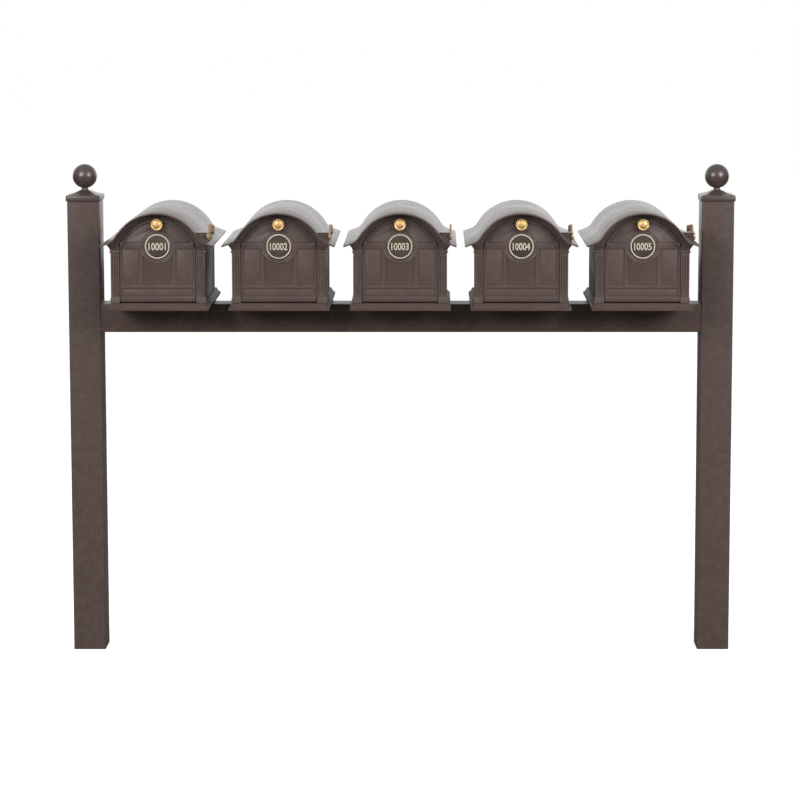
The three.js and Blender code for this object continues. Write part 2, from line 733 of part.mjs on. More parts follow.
const pieces = [
  ['body', boxBody(), BRONZE],
  ['front_frame', frontFrame(), BRONZE],
  ['roof', roof(), BRONZE],
  ['door', door(), BRONZE],
  ['hinge_pin', hingePin(), STEEL],
  ['door_knob', doorKnob(), BRASS],
  ['number_plaque', numberPlaque(), ENAMEL],
  ['door_catch', doorCatch(), STEEL],
  ['flag_bracket', flagBracket(), BRONZE],
  ['flag', flag(), BRASS],
];
for (let i = 0; i < BOX_COUNT; i += 1) {
  const mailbox = new THREE.Group();
  mailbox.position.set((i - (BOX_COUNT - 1) / 2) * BOX_PITCH, 0, BOX_Z);
  for (const [name, solid, finish] of pieces) {
    place(mailbox, `mailbox_${i + 1}_${name}`, solid, finish);
  }
  group.add(mailbox);
}

export default group;
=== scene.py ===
import math
from contextlib import contextmanager

import bmesh
import bpy
from bpy.props import FloatProperty, FloatVectorProperty, PointerProperty
from mathutils import Matrix, Vector


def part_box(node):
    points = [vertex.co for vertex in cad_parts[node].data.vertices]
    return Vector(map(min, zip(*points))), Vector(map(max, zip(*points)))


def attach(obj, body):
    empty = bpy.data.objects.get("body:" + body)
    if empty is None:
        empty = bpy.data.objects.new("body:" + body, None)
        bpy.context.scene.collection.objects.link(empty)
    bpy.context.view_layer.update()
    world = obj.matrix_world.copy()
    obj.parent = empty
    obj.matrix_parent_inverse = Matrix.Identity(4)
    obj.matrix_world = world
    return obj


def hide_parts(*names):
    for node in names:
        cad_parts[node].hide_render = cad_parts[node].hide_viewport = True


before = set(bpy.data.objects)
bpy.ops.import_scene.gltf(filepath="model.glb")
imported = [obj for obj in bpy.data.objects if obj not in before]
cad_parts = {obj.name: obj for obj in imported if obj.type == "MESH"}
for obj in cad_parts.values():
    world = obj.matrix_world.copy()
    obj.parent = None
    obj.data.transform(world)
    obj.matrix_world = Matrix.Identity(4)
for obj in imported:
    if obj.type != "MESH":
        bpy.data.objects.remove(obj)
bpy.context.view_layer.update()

bl_info = {
    "name": "Cluster Mailbox Unit",
    "version": (1, 0, 0),
    "blender": (4, 5, 0),
    "location": "3D View > Sidebar > Mailboxes",
    "description": "Cast mailboxes on a crossbeam between two capped posts",
    "category": "Object",
}

MM = 0.001
X = Vector((1, 0, 0))
Y = Vector((0, 1, 0))
Z = Vector((0, 0, 1))
ORIGIN = Vector((0, 0, 0))
MERGE = 0.01 * MM
BOX_NUMBERS = (1, 2, 3, 4, 5)
MODELLED = 3  # the box whose pieces are modelled; the others are copies
POST_SIDES = ("left", "right")

# Places taken from the frame
BOX_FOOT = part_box("mailbox_3_body")[0].z
POST_FOOT, POST_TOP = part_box("right_post")
POST_X = (POST_FOOT.x + POST_TOP.x) / 2
CAP_LOW, CAP_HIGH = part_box("right_post_cap")
BEAM_LOW, BEAM_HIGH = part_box("crossbeam")
SCREW_LOW, SCREW_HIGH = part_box("right_beam_screw")
SCREW_X = (SCREW_LOW.x + SCREW_HIGH.x) / 2

# The box's sizes in millimetres, about its centre, with heights from its underside
GAP = 0.3
CROWN_RADIUS = 148
CROWN_CENTRE = 160
FLARE_RADIUS = 42
FLARE_ANGLE = math.radians(60)
EAVE_ANGLE = math.radians(20)
EAVE_LENGTH = 27.5
ROOF_SHEET = 5
ROOF_HALF = 254
LEDGE_HALF_X = 146
LEDGE_HALF_Y = 217
BASE_HEIGHT = 23
BODY_HALF = 140
BODY_BACK = 211
BODY_WALL = 4
FLOOR = 5
OPENING_HALF = 119
PILASTER_FACE = -217
ARCH_FACE = -215
FRAME_BACK = -203
FRAME_FOOT = BASE_HEIGHT + GAP
CAPITAL_FOOT = 180
CAPITAL_NECK = 187
CAPITAL_TOP = 212
DOOR_HALF = 117.5
DOOR_RADIUS = 124
PANEL_FACE = -212.5
DOOR_BACK = -206.5
HINGE_Y = -208.5
HINGE_Z = 31.5
KNUCKLE_RADIUS = 6.45
PIN_BORE = 3.4
KNOB_HEIGHT = 270
PLAQUE_HEIGHT = 201
BOSS_FACE = -216.5
FIELD_FACE = -220
BRACKET_FACE = 155
BRACKET_TOP = 247
BRACKET_FRONT = -245
BRACKET_REAR = -205
PIVOT_Y = -228
PIVOT_Z = 234
FLAG_FACE = 155.4
FLAG_THICKNESS = 5
FAR = 400  # past everything
NECKING = (
    (0.4, CAPITAL_FOOT),
    (2.2, 180.8),
    (3, 182.4),
    (3, 184.4),
    (2.2, 186),
    (0.8, CAPITAL_NECK),
)  # steps forward, with their heights
ABACUS = (
    (0.8, CAPITAL_NECK - 0.5, 0.8),
    (1.2, 190, 1.4),
    (2, 193.5, 2.6),
    (3.1, 197, 4.5),
    (4.4, 201, 7.4),
    (5.2, 203.6, 9.6),
    (5.2, 204.6, 9.8),
    (6, 205.6, 11),
    (6, CAPITAL_TOP, 11),
)  # steps forward, with their heights and how far they reach aside

# Other sizes in millimetres
TUBE_WALL = 3.2
BALL_RADIUS = 38.5
BALL_MIDDLE = 58  # above the cap's skirt
SOCKET_HALF = 51.3
NUMERALS_WIDTH = 54
STROKE_WEIGHT = 0.016  # what thickens the numerals' strokes, in heights of the text

# The stage, in metres
FLOOR_SIZE = 300
FLOOR_RETURN = 0.12  # what the floor throws back onto the unit
FLOOR_GLOW = 0.7  # what the camera sees of the floor beyond its colour
SOFTBOX_LEFT = (-3.4, -4.6, 3.4)
SOFTBOX_RIGHT = (3.6, -4.2, 3.2)
SOFTBOX_TARGET = Vector((0, 0, 1.2))
SOFTBOX_SIZE = (2.2, 2.2)
CARD_PLACE = (0, 4, 2.35)
CARD_TARGET = Vector((0, 0, 2.35))
CARD_SIZE = (10, 3)
CAMERA_PLACE = (0.103, -8.0, 2.103)
CAMERA_DIP = 6.5  # degrees down from level
LENS_LENGTH = 113.3
LENS_SENSOR = 36
LENS_SHIFT = (-0.0415, -0.1487)


def box_middle(number):
    """Where a box's middle is along X."""
    low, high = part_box(f"mailbox_{number}_body")
    return (low.x + high.x) / 2


def at(x, y, z):
    """A point of the modelled box, from millimetres."""
    return Vector((x * MM, y * MM, BOX_FOOT + z * MM))


# ---- Modelling ----


def select_only(*pieces):
    bpy.ops.object.select_all(action="DESELECT")
    for piece in pieces:
        piece.select_set(True)
    bpy.context.view_layer.objects.active = pieces[0]


def select_whole():
    bpy.ops.mesh.select_all(action="SELECT")


def inset(thickness, depth=0):
    bpy.ops.mesh.inset(thickness=thickness * MM, depth=depth * MM)


@contextmanager
def editing(piece, kind="VERT"):
    select_only(piece)
    bpy.ops.object.mode_set(mode="EDIT")
    bpy.ops.mesh.select_mode(type=kind)
    yield
    bpy.ops.object.mode_set(mode="OBJECT")


def pick(piece, kind, test):
    """Selects the points, edges or faces that pass the test, and nothing else."""
    bpy.ops.mesh.select_mode(type=kind)
    bpy.ops.mesh.select_all(action="DESELECT")
    shape = bmesh.from_edit_mesh(piece.data)
    elements = {"VERT": shape.verts, "EDGE": shape.edges, "FACE": shape.faces}[kind]
    for element in elements:
        element.select_set(bool(test(element)))
    bmesh.update_edit_mesh(piece.data)


def facing(direction, place=None):
    """A test for the faces that look along a direction, at a place along it if one is given."""
    def test(face):
        if face.normal.dot(direction) < 0.999:
            return False
        return place is None or abs(face.calc_center_median().dot(direction) - place) < 0.05 * MM
    return test


def face_outwards():
    select_whole()
    bpy.ops.mesh.remove_doubles(threshold=MERGE)
    bpy.ops.mesh.normals_make_consistent(inside=False)


def started(name, add, **settings):
    """A primitive added at its size and place."""
    bpy.ops.object.select_all(action="DESELECT")
    add(**settings)
    piece = bpy.context.object
    piece.name = name
    bpy.ops.object.transform_apply(location=True, rotation=True, scale=True)
    return piece


def traced(name, points, filled=True):
    """An outline drawn point by point, closed into a face unless it is left open."""
    piece = started(name, bpy.ops.mesh.primitive_plane_add, size=MM, location=points[0])
    with editing(piece):
        select_whole()
        bpy.ops.mesh.merge(type="CENTER")
        for here, there in zip(points, points[1:]):
            bpy.ops.mesh.extrude_vertices_move(TRANSFORM_OT_translate={"value": there - here})
        if filled:
            select_whole()
            bpy.ops.mesh.edge_face_add()
    return piece


def drawn_out(name, points, reach):
    """A traced outline drawn out along a vector into a solid."""
    piece = traced(name, points)
    with editing(piece, "FACE"):
        select_whole()
        bpy.ops.mesh.extrude_region_move(TRANSFORM_OT_translate={"value": reach})
        face_outwards()
    return piece


def front_prism(name, outline, y0, y1):
    """An outline in X and Z, filled from y0 back to y1."""
    return drawn_out(name, [at(x, y0, z) for x, z in outline], Y * (y1 - y0) * MM)


def side_prism(name, outline, x0, x1):
    """An outline in Y and Z, filled from x0 to x1."""
    return drawn_out(name, [at(x0, y, z) for y, z in outline], X * (x1 - x0) * MM)


def lofted(name, rings, corner=0.0):
    """A rectangle carried up through rings of ((x0, x1), (y0, y1), z), in metres."""
    (x0, x1), (y0, y1), z = rings[0]
    centre = Vector(((x0 + x1) / 2, (y0 + y1) / 2, z))
    piece = started(name, bpy.ops.mesh.primitive_plane_add, size=1, location=centre)
    with editing(piece, "FACE"):
        select_whole()
        bpy.ops.transform.resize(value=(x1 - x0, y1 - y0, 1), center_override=centre)
        if corner:
            bpy.ops.mesh.bevel(offset=corner, segments=4, affect="VERTICES")
            select_whole()
        for (a0, a1), (b0, b1), height in rings[1:]:
            there = Vector(((a0 + a1) / 2, (b0 + b1) / 2, height))
            bpy.ops.mesh.extrude_region_move(TRANSFORM_OT_translate={"value": there - centre})
            growth = ((a1 - a0) / (x1 - x0), (b1 - b0) / (y1 - y0), 1)
            bpy.ops.transform.resize(value=growth, center_override=there)
            (x0, x1), (y0, y1), centre = (a0, a1), (b0, b1), there
        face_outwards()
    return piece


def box_lofted(name, rings, corner=0.0):
    """The same for the modelled box, in its millimetres."""
    scaled = [
        ((x0 * MM, x1 * MM), (y0 * MM, y1 * MM), BOX_FOOT + z * MM)
        for (x0, x1), (y0, y1), z in rings
    ]
    return lofted(name, scaled, corner * MM)


def spun(name, profile, foot, axis, steps=48, closed=False):
    """A profile of (radius, height) millimetres turned about an axis through its foot."""
    out = X if abs(axis.x) < 0.5 else Y
    points = [foot + out * radius * MM + axis * height * MM for radius, height in profile]
    if closed:
        points.append(points[0])
    piece = traced(name, points, filled=False)
    with editing(piece):
        select_whole()
        bpy.ops.mesh.remove_doubles(threshold=MERGE)
        select_whole()
        bpy.ops.mesh.spin(steps=steps, angle=math.tau, center=foot, axis=axis)
        face_outwards()
    return piece


def apply_modifier(piece, kind, **settings):
    modifier = piece.modifiers.new(kind.title(), kind)
    for name, value in settings.items():
        setattr(modifier, name, value)
    select_only(piece)
    bpy.ops.object.modifier_apply(modifier=modifier.name)


def combined(piece, others, operation, solver="EXACT"):
    """Joins the others to the piece, cuts them from it, or keeps what it shares with them."""
    for other in others:
        apply_modifier(piece, "BOOLEAN", object=other, operation=operation, solver=solver)
        bpy.data.meshes.remove(other.data)
    return piece


def cut(piece, *others, **settings):
    return combined(piece, others, "DIFFERENCE", **settings)


def joined(piece, *others, **settings):
    return combined(piece, others, "UNION", **settings)


def trimmed(piece, *others, **settings):
    return combined(piece, others, "INTERSECT", **settings)


def opened_tube(piece, axis):
    """Takes off the two ends along an axis and gives what is left a wall."""
    with editing(piece):
        pick(piece, "FACE", lambda face: abs(face.normal.dot(axis)) > 0.9)
        bpy.ops.mesh.delete(type="ONLY_FACE")
    apply_modifier(piece, "SOLIDIFY", thickness=TUBE_WALL * MM, offset=-1, use_even_offset=True)


def gathered(name, pieces):
    """Several loose pieces as one mesh."""
    select_only(*pieces)
    bpy.ops.object.join()
    pieces[0].name = name
    return pieces[0]


def copied(piece, name, move=ORIGIN, mirror=False):
    """A copy with its own mesh, moved, or mirrored across the box's middle."""
    twin = piece.copy()
    twin.data = piece.data.copy()
    twin.name = name
    bpy.context.scene.collection.objects.link(twin)
    if mirror:
        twin.data.transform(Matrix.Scale(-1, 4, X))
        with editing(twin):
            face_outwards()
    twin.data.transform(Matrix.Translation(move))
    return twin


def softened(piece, width, segments=2, angle=30, cleaned=True):
    """Rounds the sharp edges, as a casting's are, once the flat faces are cleaned."""
    with editing(piece):
        select_whole()
        bpy.ops.mesh.remove_doubles(threshold=MERGE)
        if cleaned:
            select_whole()
            bpy.ops.mesh.dissolve_limited(angle_limit=math.radians(0.3))
    apply_modifier(
        piece,
        "BEVEL",
        width=width * MM,
        segments=segments,
        limit_method="ANGLE",
        angle_limit=math.radians(angle),
        use_clamp_overlap=True,
        loop_slide=True,
    )
    return piece


def finished(piece, body, finish, nodes=(), smooth=35):
    """Gives the piece its finish and its place in the frame."""
    select_only(piece)
    bpy.ops.object.shade_smooth_by_angle(angle=math.radians(smooth))
    piece.data.materials.clear()
    piece.data.materials.append(finish_named(finish))
    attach(piece, body)
    if nodes:
        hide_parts(*nodes)
    return piece


def for_each_side(piece, kind, middle, finish, node, smooth=35):
    """Copies a piece of the right end, which lies at a middle along X, to both ends."""
    for side, move in zip(POST_SIDES, (-2 * middle, 0)):
        twin = copied(piece, f"{side}_{kind}", X * move)
        finished(twin, "root", finish, [f"{side}_{node}"], smooth)
    bpy.data.meshes.remove(piece.data)


def for_each_box(piece, kind, body, finish, replaced=(), smooth=35):
    """Copies a modelled piece to every box. Body and nodes are named without the box's name."""
    for number in BOX_NUMBERS:
        name = f"mailbox_{number}_{kind}"
        twin = copied(piece, name, X * (box_middle(number) - box_middle(MODELLED)))
        nodes = [f"mailbox_{number}_{node}" for node in replaced]
        home = f"mailbox_{number}_{body}" if body != "root" else body
        finished(twin, home, finish, nodes, smooth)
    bpy.data.meshes.remove(piece.data)


def arc(x, z, radius, start, end, steps):
    """Points of an arc about (x, z), its angles from straight up, clockwise."""
    angles = [start + (end - start) * i / steps for i in range(steps + 1)]
    return [(x + radius * math.sin(a), z + radius * math.cos(a)) for a in angles]


def roof_line(inset, crown_steps=16, flare_steps=8):
    """The roof's section from the left eave to the right one, set in from its outer face."""
    flare_x = (CROWN_RADIUS + FLARE_RADIUS) * math.sin(FLARE_ANGLE)
    flare_z = CROWN_CENTRE + (CROWN_RADIUS + FLARE_RADIUS) * math.cos(FLARE_ANGLE)
    crown = arc(0, CROWN_CENTRE, CROWN_RADIUS - inset, 0, FLARE_ANGLE, crown_steps)
    turn = (math.pi + FLARE_ANGLE, math.pi + EAVE_ANGLE)
    flare = arc(flare_x, flare_z, FLARE_RADIUS + inset, *turn, flare_steps)
    eave_x, eave_z = flare[-1]
    tip = (
        eave_x + EAVE_LENGTH * math.cos(EAVE_ANGLE),
        eave_z - EAVE_LENGTH * math.sin(EAVE_ANGLE),
    )
    right = [*crown, *flare[1:], tip]
    left = [(-x, z) for x, z in reversed(right[1:])]
    return [*left, *right]


def under_roof_line(half, clearance=GAP):
    """The underside of the roof between -half and half."""
    line = roof_line(ROOF_SHEET + clearance)
    inside = [(x, z) for x, z in line if abs(x) < half - 0.5]
    right = [(x, z) for x, z in line if x >= 0]
    edge = None
    for (x0, z0), (x1, z1) in zip(right, right[1:]):
        if x0 <= half <= x1:
            edge = z0 + (z1 - z0) * (half - x0) / (x1 - x0)
    return [(-half, edge), *inside, (half, edge)]


def under_roof(name, half=170):
    """All the space below the roof, as a solid that trims what rises into it."""
    return front_prism(name, [*under_roof_line(half), (half, -1), (-half, -1)], -FAR, FAR)


def arched(half, radius, foot, steps=40):
    """Straight sides under a round arch."""
    spring = math.asin(half / radius)
    return [(-half, foot), *arc(0, CROWN_CENTRE, radius, -spring, spring, steps), (half, foot)]


def bar(name, radius, x0, x1, y, z, sides=24):
    """A round bar along X, for boring and for pins."""
    return spun(name, [(0, x0), (radius, x0), (radius, x1), (0, x1)], at(0, y, z), X, sides)


# ---- Finishes ----


def added(tree, kind, inputs=None, **settings):
    """A node with its settings; an input is a value, or another node's output to link."""
    node = tree.nodes.new(kind)
    for name, value in settings.items():
        setattr(node, name, value)
    for key, value in (inputs or {}).items():
        if isinstance(value, bpy.types.NodeSocket):
            tree.links.new(value, node.inputs[key])
        else:
            node.inputs[key].default_value = value
    return node


def effect(name, inputs, outputs):
    """An empty node group with named sockets."""
    tree = bpy.data.node_groups.new(name, "ShaderNodeTree")
    for label, kind, value in inputs:
        socket = tree.interface.new_socket(label, in_out="INPUT", socket_type=kind)
        socket.default_value = value
    for label, kind in outputs:
        tree.interface.new_socket(label, in_out="OUTPUT", socket_type=kind)
    return tree, tree.nodes.new("NodeGroupInput"), tree.nodes.new("NodeGroupOutput")


def ranged(tree, value, low, high, start=0.0, end=1.0):
    """A value spread from one range to another and kept inside it."""
    node = added(
        tree,
        "ShaderNodeMapRange",
        {"Value": value, "From Min": low, "From Max": high, "To Min": start, "To Max": end},
        interpolation_type="SMOOTHSTEP",
    )
    return node.outputs["Result"]


def product(tree, first, second):
    return added(tree, "ShaderNodeMath", {0: first, 1: second}, operation="MULTIPLY").outputs[0]


def blended(tree, factor, first, second):
    """Two colours mixed by a mask."""
    inputs = {0: factor, 6: first, 7: second}
    return added(tree, "ShaderNodeMix", inputs, data_type="RGBA").outputs[2]


def noise_in(tree, vector, scale, detail, roughness=0.5):
    inputs = {"Vector": vector, "Scale": scale, "Detail": detail, "Roughness": roughness}
    return added(tree, "ShaderNodeTexNoise", inputs).outputs["Fac"]


def cast_skin_group():
    """Fine orange peel over broad, faint mottling."""
    tree, given, made = effect(
        "Cast skin",
        [
            ("Vector", "NodeSocketVector", (0, 0, 0)),
            ("Grain Scale", "NodeSocketFloat", 900.0),
            ("Mottle Scale", "NodeSocketFloat", 11.0),
        ],
        [("Mottle", "NodeSocketFloat"), ("Height", "NodeSocketFloat")],
    )
    vector = given.outputs["Vector"]
    grain = given.outputs["Grain Scale"]
    fine = product(tree, noise_in(tree, vector, grain, 2.0), 0.45)
    peel = noise_in(tree, vector, product(tree, grain, 0.22), 2.0)
    mottle = noise_in(tree, vector, given.outputs["Mottle Scale"], 6.0)
    height = added(tree, "ShaderNodeMath", {0: fine, 1: peel}, operation="ADD")
    tree.links.new(ranged(tree, mottle, 0.3, 0.7), made.inputs["Mottle"])
    tree.links.new(height.outputs[0], made.inputs["Height"])
    return tree


def edge_wear_group():
    """Worn spots along the outer edges, broken up by noise."""
    tree, given, made = effect(
        "Edge wear",
        [
            ("Vector", "NodeSocketVector", (0, 0, 0)),
            ("Amount", "NodeSocketFloat", 0.5),
            ("Low", "NodeSocketFloat", 0.52),
            ("High", "NodeSocketFloat", 0.62),
        ],
        [("Wear", "NodeSocketFloat"), ("Hollow", "NodeSocketFloat")],
    )
    sharpness = tree.nodes.new("ShaderNodeNewGeometry").outputs["Pointiness"]
    edges = ranged(tree, sharpness, given.outputs["Low"], given.outputs["High"])
    noise = noise_in(tree, given.outputs["Vector"], 42.0, 8.0, 0.65)
    broken = product(tree, edges, ranged(tree, noise, 0.42, 0.62))
    tree.links.new(product(tree, broken, given.outputs["Amount"]), made.inputs["Wear"])
    tree.links.new(ranged(tree, sharpness, 0.49, 0.42), made.inputs["Hollow"])
    return tree


def settled_dust_group():
    """Pale dust on what looks up, thicker in patches."""
    tree, given, made = effect(
        "Settled dust",
        [
            ("Vector", "NodeSocketVector", (0, 0, 0)),
            ("Normal", "NodeSocketVector", (0, 0, 1)),
            ("Amount", "NodeSocketFloat", 0.2),
        ],
        [("Dust", "NodeSocketFloat")],
    )
    parts = added(tree, "ShaderNodeSeparateXYZ", {0: given.outputs["Normal"]})
    noise = noise_in(tree, given.outputs["Vector"], 17.0, 9.0, 0.62)
    upward = ranged(tree, parts.outputs["Z"], 0.25, 0.95)
    lying = product(tree, upward, ranged(tree, noise, 0.3, 0.72))
    tree.links.new(product(tree, lying, given.outputs["Amount"]), made.inputs["Dust"])
    return tree


EFFECTS = {
    "Cast skin": cast_skin_group,
    "Edge wear": edge_wear_group,
    "Settled dust": settled_dust_group,
}


def placed_effect(tree, name, inputs):
    """A shared effect's outputs, with the effect built the first time that it is used."""
    group = bpy.data.node_groups.get(name) or EFFECTS[name]()
    return added(tree, "ShaderNodeGroup", inputs, node_tree=group).outputs


def blank_material(name):
    material = bpy.data.materials.new(name)
    material.use_nodes = True
    tree = material.node_tree
    place = tree.nodes.new("ShaderNodeTexCoord").outputs
    return material, tree, tree.nodes["Principled BSDF"], place


def set_on(shader, **values):
    """Plain values on the shader's own sockets, named with underscores for spaces."""
    for name, value in values.items():
        shader.inputs[name.replace("_", " ")].default_value = value


def surfaced(tree, shader, colour, roughness, height, strength, distance):
    """Links a colour and a roughness, and a height as a bump of so many millimetres."""
    tree.links.new(colour, shader.inputs["Base Color"])
    tree.links.new(roughness, shader.inputs["Roughness"])
    inputs = {"Height": height, "Strength": strength, "Distance": distance * MM}
    bump = added(tree, "ShaderNodeBump", inputs)
    tree.links.new(bump.outputs["Normal"], shader.inputs["Normal"])


def two_colours(name, depth=1.0):
    """A setting's colour and its mottle, darkened to a depth."""
    finishes = bpy.context.scene.mailbox_finishes
    pair = getattr(finishes, name), getattr(finishes, f"{name}_shade")
    return [(*(depth * c for c in colour), 1) for colour in pair]


def coat(name, colour, depth=1.0, grain=900.0, relief=0.2, gloss=0.24, worn=0.5, lacquer=0.7):
    """Baked enamel on a casting: mottled, dusty on top, rubbed along its edges."""
    finishes = bpy.context.scene.mailbox_finishes
    material, tree, shader, place = blank_material(name)
    vector, normal = place["Object"], place["Normal"]
    skin = placed_effect(tree, "Cast skin", {"Vector": vector, "Grain Scale": grain})
    rubbing = {"Vector": vector, "Amount": worn * finishes.edge_wear}
    wear = placed_effect(tree, "Edge wear", rubbing)
    settling = {"Vector": vector, "Normal": normal, "Amount": finishes.dust}
    dust = placed_effect(tree, "Settled dust", settling)
    base = blended(tree, skin["Mottle"], *two_colours(colour, depth))
    rubbed = blended(tree, wear["Wear"], base, (*finishes.bare_metal, 1))
    dusty = blended(tree, dust["Dust"], rubbed, (*finishes.dust_colour, 1))
    rough = ranged(tree, skin["Mottle"], 0.0, 1.0, 0.36, 0.46)
    surfaced(tree, shader, dusty, rough, skin["Height"], relief, 0.35)
    set_on(shader, Specular_IOR_Level=0.5 * lacquer)
    set_on(shader, Coat_Weight=lacquer, Coat_Roughness=gloss, Coat_IOR=1.5)
    return material


def brass(name, colour, roughness):
    """Lacquered brass, darker in its hollows, with a fine grain."""
    finishes = bpy.context.scene.mailbox_finishes
    material, tree, shader, place = blank_material(name)
    vector = place["Object"]
    grain = {"Vector": vector, "Grain Scale": 1600.0, "Mottle Scale": 60.0}
    skin = placed_effect(tree, "Cast skin", grain)
    wear = placed_effect(tree, "Edge wear", {"Vector": vector, "Amount": 0.8})
    base = blended(tree, skin["Mottle"], *two_colours(colour))
    aged = blended(tree, wear["Hollow"], base, (*finishes.brass_patina, 1))
    rough = ranged(tree, skin["Mottle"], 0.0, 1.0, *roughness)
    surfaced(tree, shader, aged, rough, skin["Height"], 0.1, 0.2)
    set_on(shader, Metallic=1.0)
    return material


def brushed_steel(name):
    """Bare metal with its grain drawn along one way."""
    colour = bpy.context.scene.mailbox_finishes.steel
    material, tree, shader, place = blank_material(name)
    stretch = {"Vector": place["Object"], "Scale": (60, 900, 900)}
    drawn = added(tree, "ShaderNodeMapping", stretch).outputs["Vector"]
    grain = noise_in(tree, drawn, 1.0, 5.0)
    wear = placed_effect(tree, "Edge wear", {"Vector": place["Object"], "Amount": 0.6})
    darker = tuple(0.72 * c for c in colour)
    lighter = tuple(min(1.0, 1.25 * c) for c in colour)
    base = blended(tree, grain, (*colour, 1), (*darker, 1))
    bright = blended(tree, wear["Wear"], base, (*lighter, 1))
    rough = ranged(tree, grain, 0.3, 0.7, 0.28, 0.45)
    surfaced(tree, shader, bright, rough, grain, 0.15, 0.1)
    set_on(shader, Metallic=1.0)
    return material


def black_ceramic(name):
    """Black fired ceramic with a fine speckle."""
    material, tree, shader, place = blank_material(name)
    speckle = {"Vector": place["Object"], "Grain Scale": 1400.0, "Mottle Scale": 500.0}
    skin = placed_effect(tree, "Cast skin", speckle)
    base = blended(tree, skin["Mottle"], (0.012, 0.012, 0.013, 1), (0.03, 0.03, 0.032, 1))
    rough = ranged(tree, skin["Mottle"], 0.0, 1.0, 0.5, 0.65)
    surfaced(tree, shader, base, rough, skin["Height"], 0.2, 0.2)
    return material


# Each enamel's colour setting and what sets it apart
ENAMELS = {
    "Bronze enamel": ("bronze", {}),
    "Cast enamel": ("bronze", {"grain": 280.0, "relief": 0.5, "gloss": 0.36, "lacquer": 0.6}),
    # The caps' enamel is the bronze darkened to 0.72 as painted shade, so that the ball looks as
    # dark as the dim room it reflects
    "Gloss enamel": ("bronze", {"depth": 0.72, "gloss": 0.3, "lacquer": 1.0}),
    "Matt enamel": ("bronze", {"gloss": 0.4, "lacquer": 0.05}),
    "Satin enamel": ("bronze", {"gloss": 0.3, "lacquer": 0.25}),
    "Textured field": ("field", {"grain": 620.0, "relief": 0.9, "gloss": 0.35, "worn": 0.2}),
    "Cream enamel": ("cream", {"grain": 1300.0, "relief": 0.1, "gloss": 0.2, "worn": 0.0}),
}
# Each brass's colour setting and its range of roughness
BRASSES = {"Brass": ("brass", (0.48, 0.6)), "Flag brass": ("flag_brass", (0.5, 0.62))}


def finish_named(name):
    """The finish by its name, made the first time that a piece asks for it."""
    made = bpy.data.materials.get(name)
    if made:
        return made
    if name in ENAMELS:
        colour, look = ENAMELS[name]
        return coat(name, colour, **look)
    if name in BRASSES:
        return brass(name, *BRASSES[name])
    return {"Brushed steel": brushed_steel, "Black ceramic": black_ceramic}[name](name)


# ---- Sizes and colours that a user would change ----


def colour_setting(name, description, default):
    return FloatVectorProperty(
        name=name, description=description, subtype="COLOR", default=default, min=0.0, max=1.0
    )


def share_setting(name, description, default):
    return FloatProperty(
        name=name, description=description, subtype="FACTOR", default=default, min=0.0, max=1.0
    )


def power_setting(name, description, default):
    return FloatProperty(name=name, description=description, default=default, min=0.0)


def size_setting(name, description, default, low, high):
    return FloatProperty(
        name=name, description=description, default=default, min=low, max=high
    )


class MailboxCastings(bpy.types.PropertyGroup):
    edge_radius: size_setting(
        "Edge radius",
        "Rounding along the castings' edges, in millimetres",
        0.8,
        0.2,
        2.0,
    )
    post_corner: size_setting(
        "Post corner",
        "Outer corner radius of the posts and the crossbeam, in millimetres",
        4.0,
        1.0,
        12.0,
    )
    panel_border: size_setting(
        "Panel border",
        "Width of the flat border round each door panel's raised field, in millimetres",
        3.6,
        1.0,
        8.0,
    )
    numeral_height: size_setting(
        "Numeral height",
        "Height of the numerals on the plaques, in millimetres",
        23.0,
        10.0,
        30.0,
    )


class MailboxFinishes(bpy.types.PropertyGroup):
    bronze: colour_setting("Bronze", "Colour of the castings", (0.11, 0.073, 0.064))
    bronze_shade: colour_setting(
        "Bronze mottle",
        "Second colour of the castings' mottling",
        (0.1, 0.066, 0.057),
    )
    bare_metal: colour_setting(
        "Rubbed edges",
        "Colour where the enamel is rubbed thin",
        (0.17, 0.13, 0.115),
    )
    dust_colour: colour_setting("Dust", "Colour of the settled dust", (0.36, 0.33, 0.3))
    field: colour_setting(
        "Plaque field",
        "Colour of the textured field behind the numerals",
        (0.052, 0.036, 0.026),
    )
    field_shade: colour_setting(
        "Plaque field mottle",
        "Second colour of the textured field",
        (0.09, 0.066, 0.045),
    )
    cream: colour_setting("Cream", "Colour of the plaque's rim and numerals", (0.8, 0.7, 0.58))
    cream_shade: colour_setting(
        "Cream mottle",
        "Second colour of the cream enamel",
        (0.7, 0.6, 0.48),
    )
    brass: colour_setting("Brass", "Colour of the knobs", (0.95, 0.66, 0.31))
    brass_shade: colour_setting("Brass mottle", "Second colour of the brass", (0.86, 0.56, 0.24))
    flag_brass: colour_setting("Flag brass", "Colour of the flags", (0.9, 0.68, 0.46))
    flag_brass_shade: colour_setting(
        "Flag brass mottle",
        "Second colour of the flags",
        (0.8, 0.56, 0.34),
    )
    brass_patina: colour_setting(
        "Brass patina",
        "Colour of the brass in its hollows",
        (0.3, 0.16, 0.06),
    )
    steel: colour_setting("Steel", "Colour of pins, brackets and fasteners", (0.52, 0.51, 0.5))
    edge_wear: share_setting("Edge wear", "How far the enamel is rubbed along the edges", 0.5)
    dust: share_setting("Settled dust", "How much dust lies on the upper faces", 0.12)


class MailboxStudio(bpy.types.PropertyGroup):
    backdrop: colour_setting("Backdrop", "Colour of the surroundings", (1.0, 1.0, 1.0))
    floor: colour_setting("Floor", "Colour of the floor", (0.86, 0.86, 0.86))
    softboxes: power_setting("Softboxes", "Power of each of the two softboxes, in watts", 170.0)
    back_card: power_setting("Back card", "Power of the lit card behind the unit, in watts", 64.0)
    room_light: share_setting(
        "Room light",
        "How much of the backdrop's light falls on the unit",
        0.35,
    )


# ---- Posts, caps and crossbeam ----


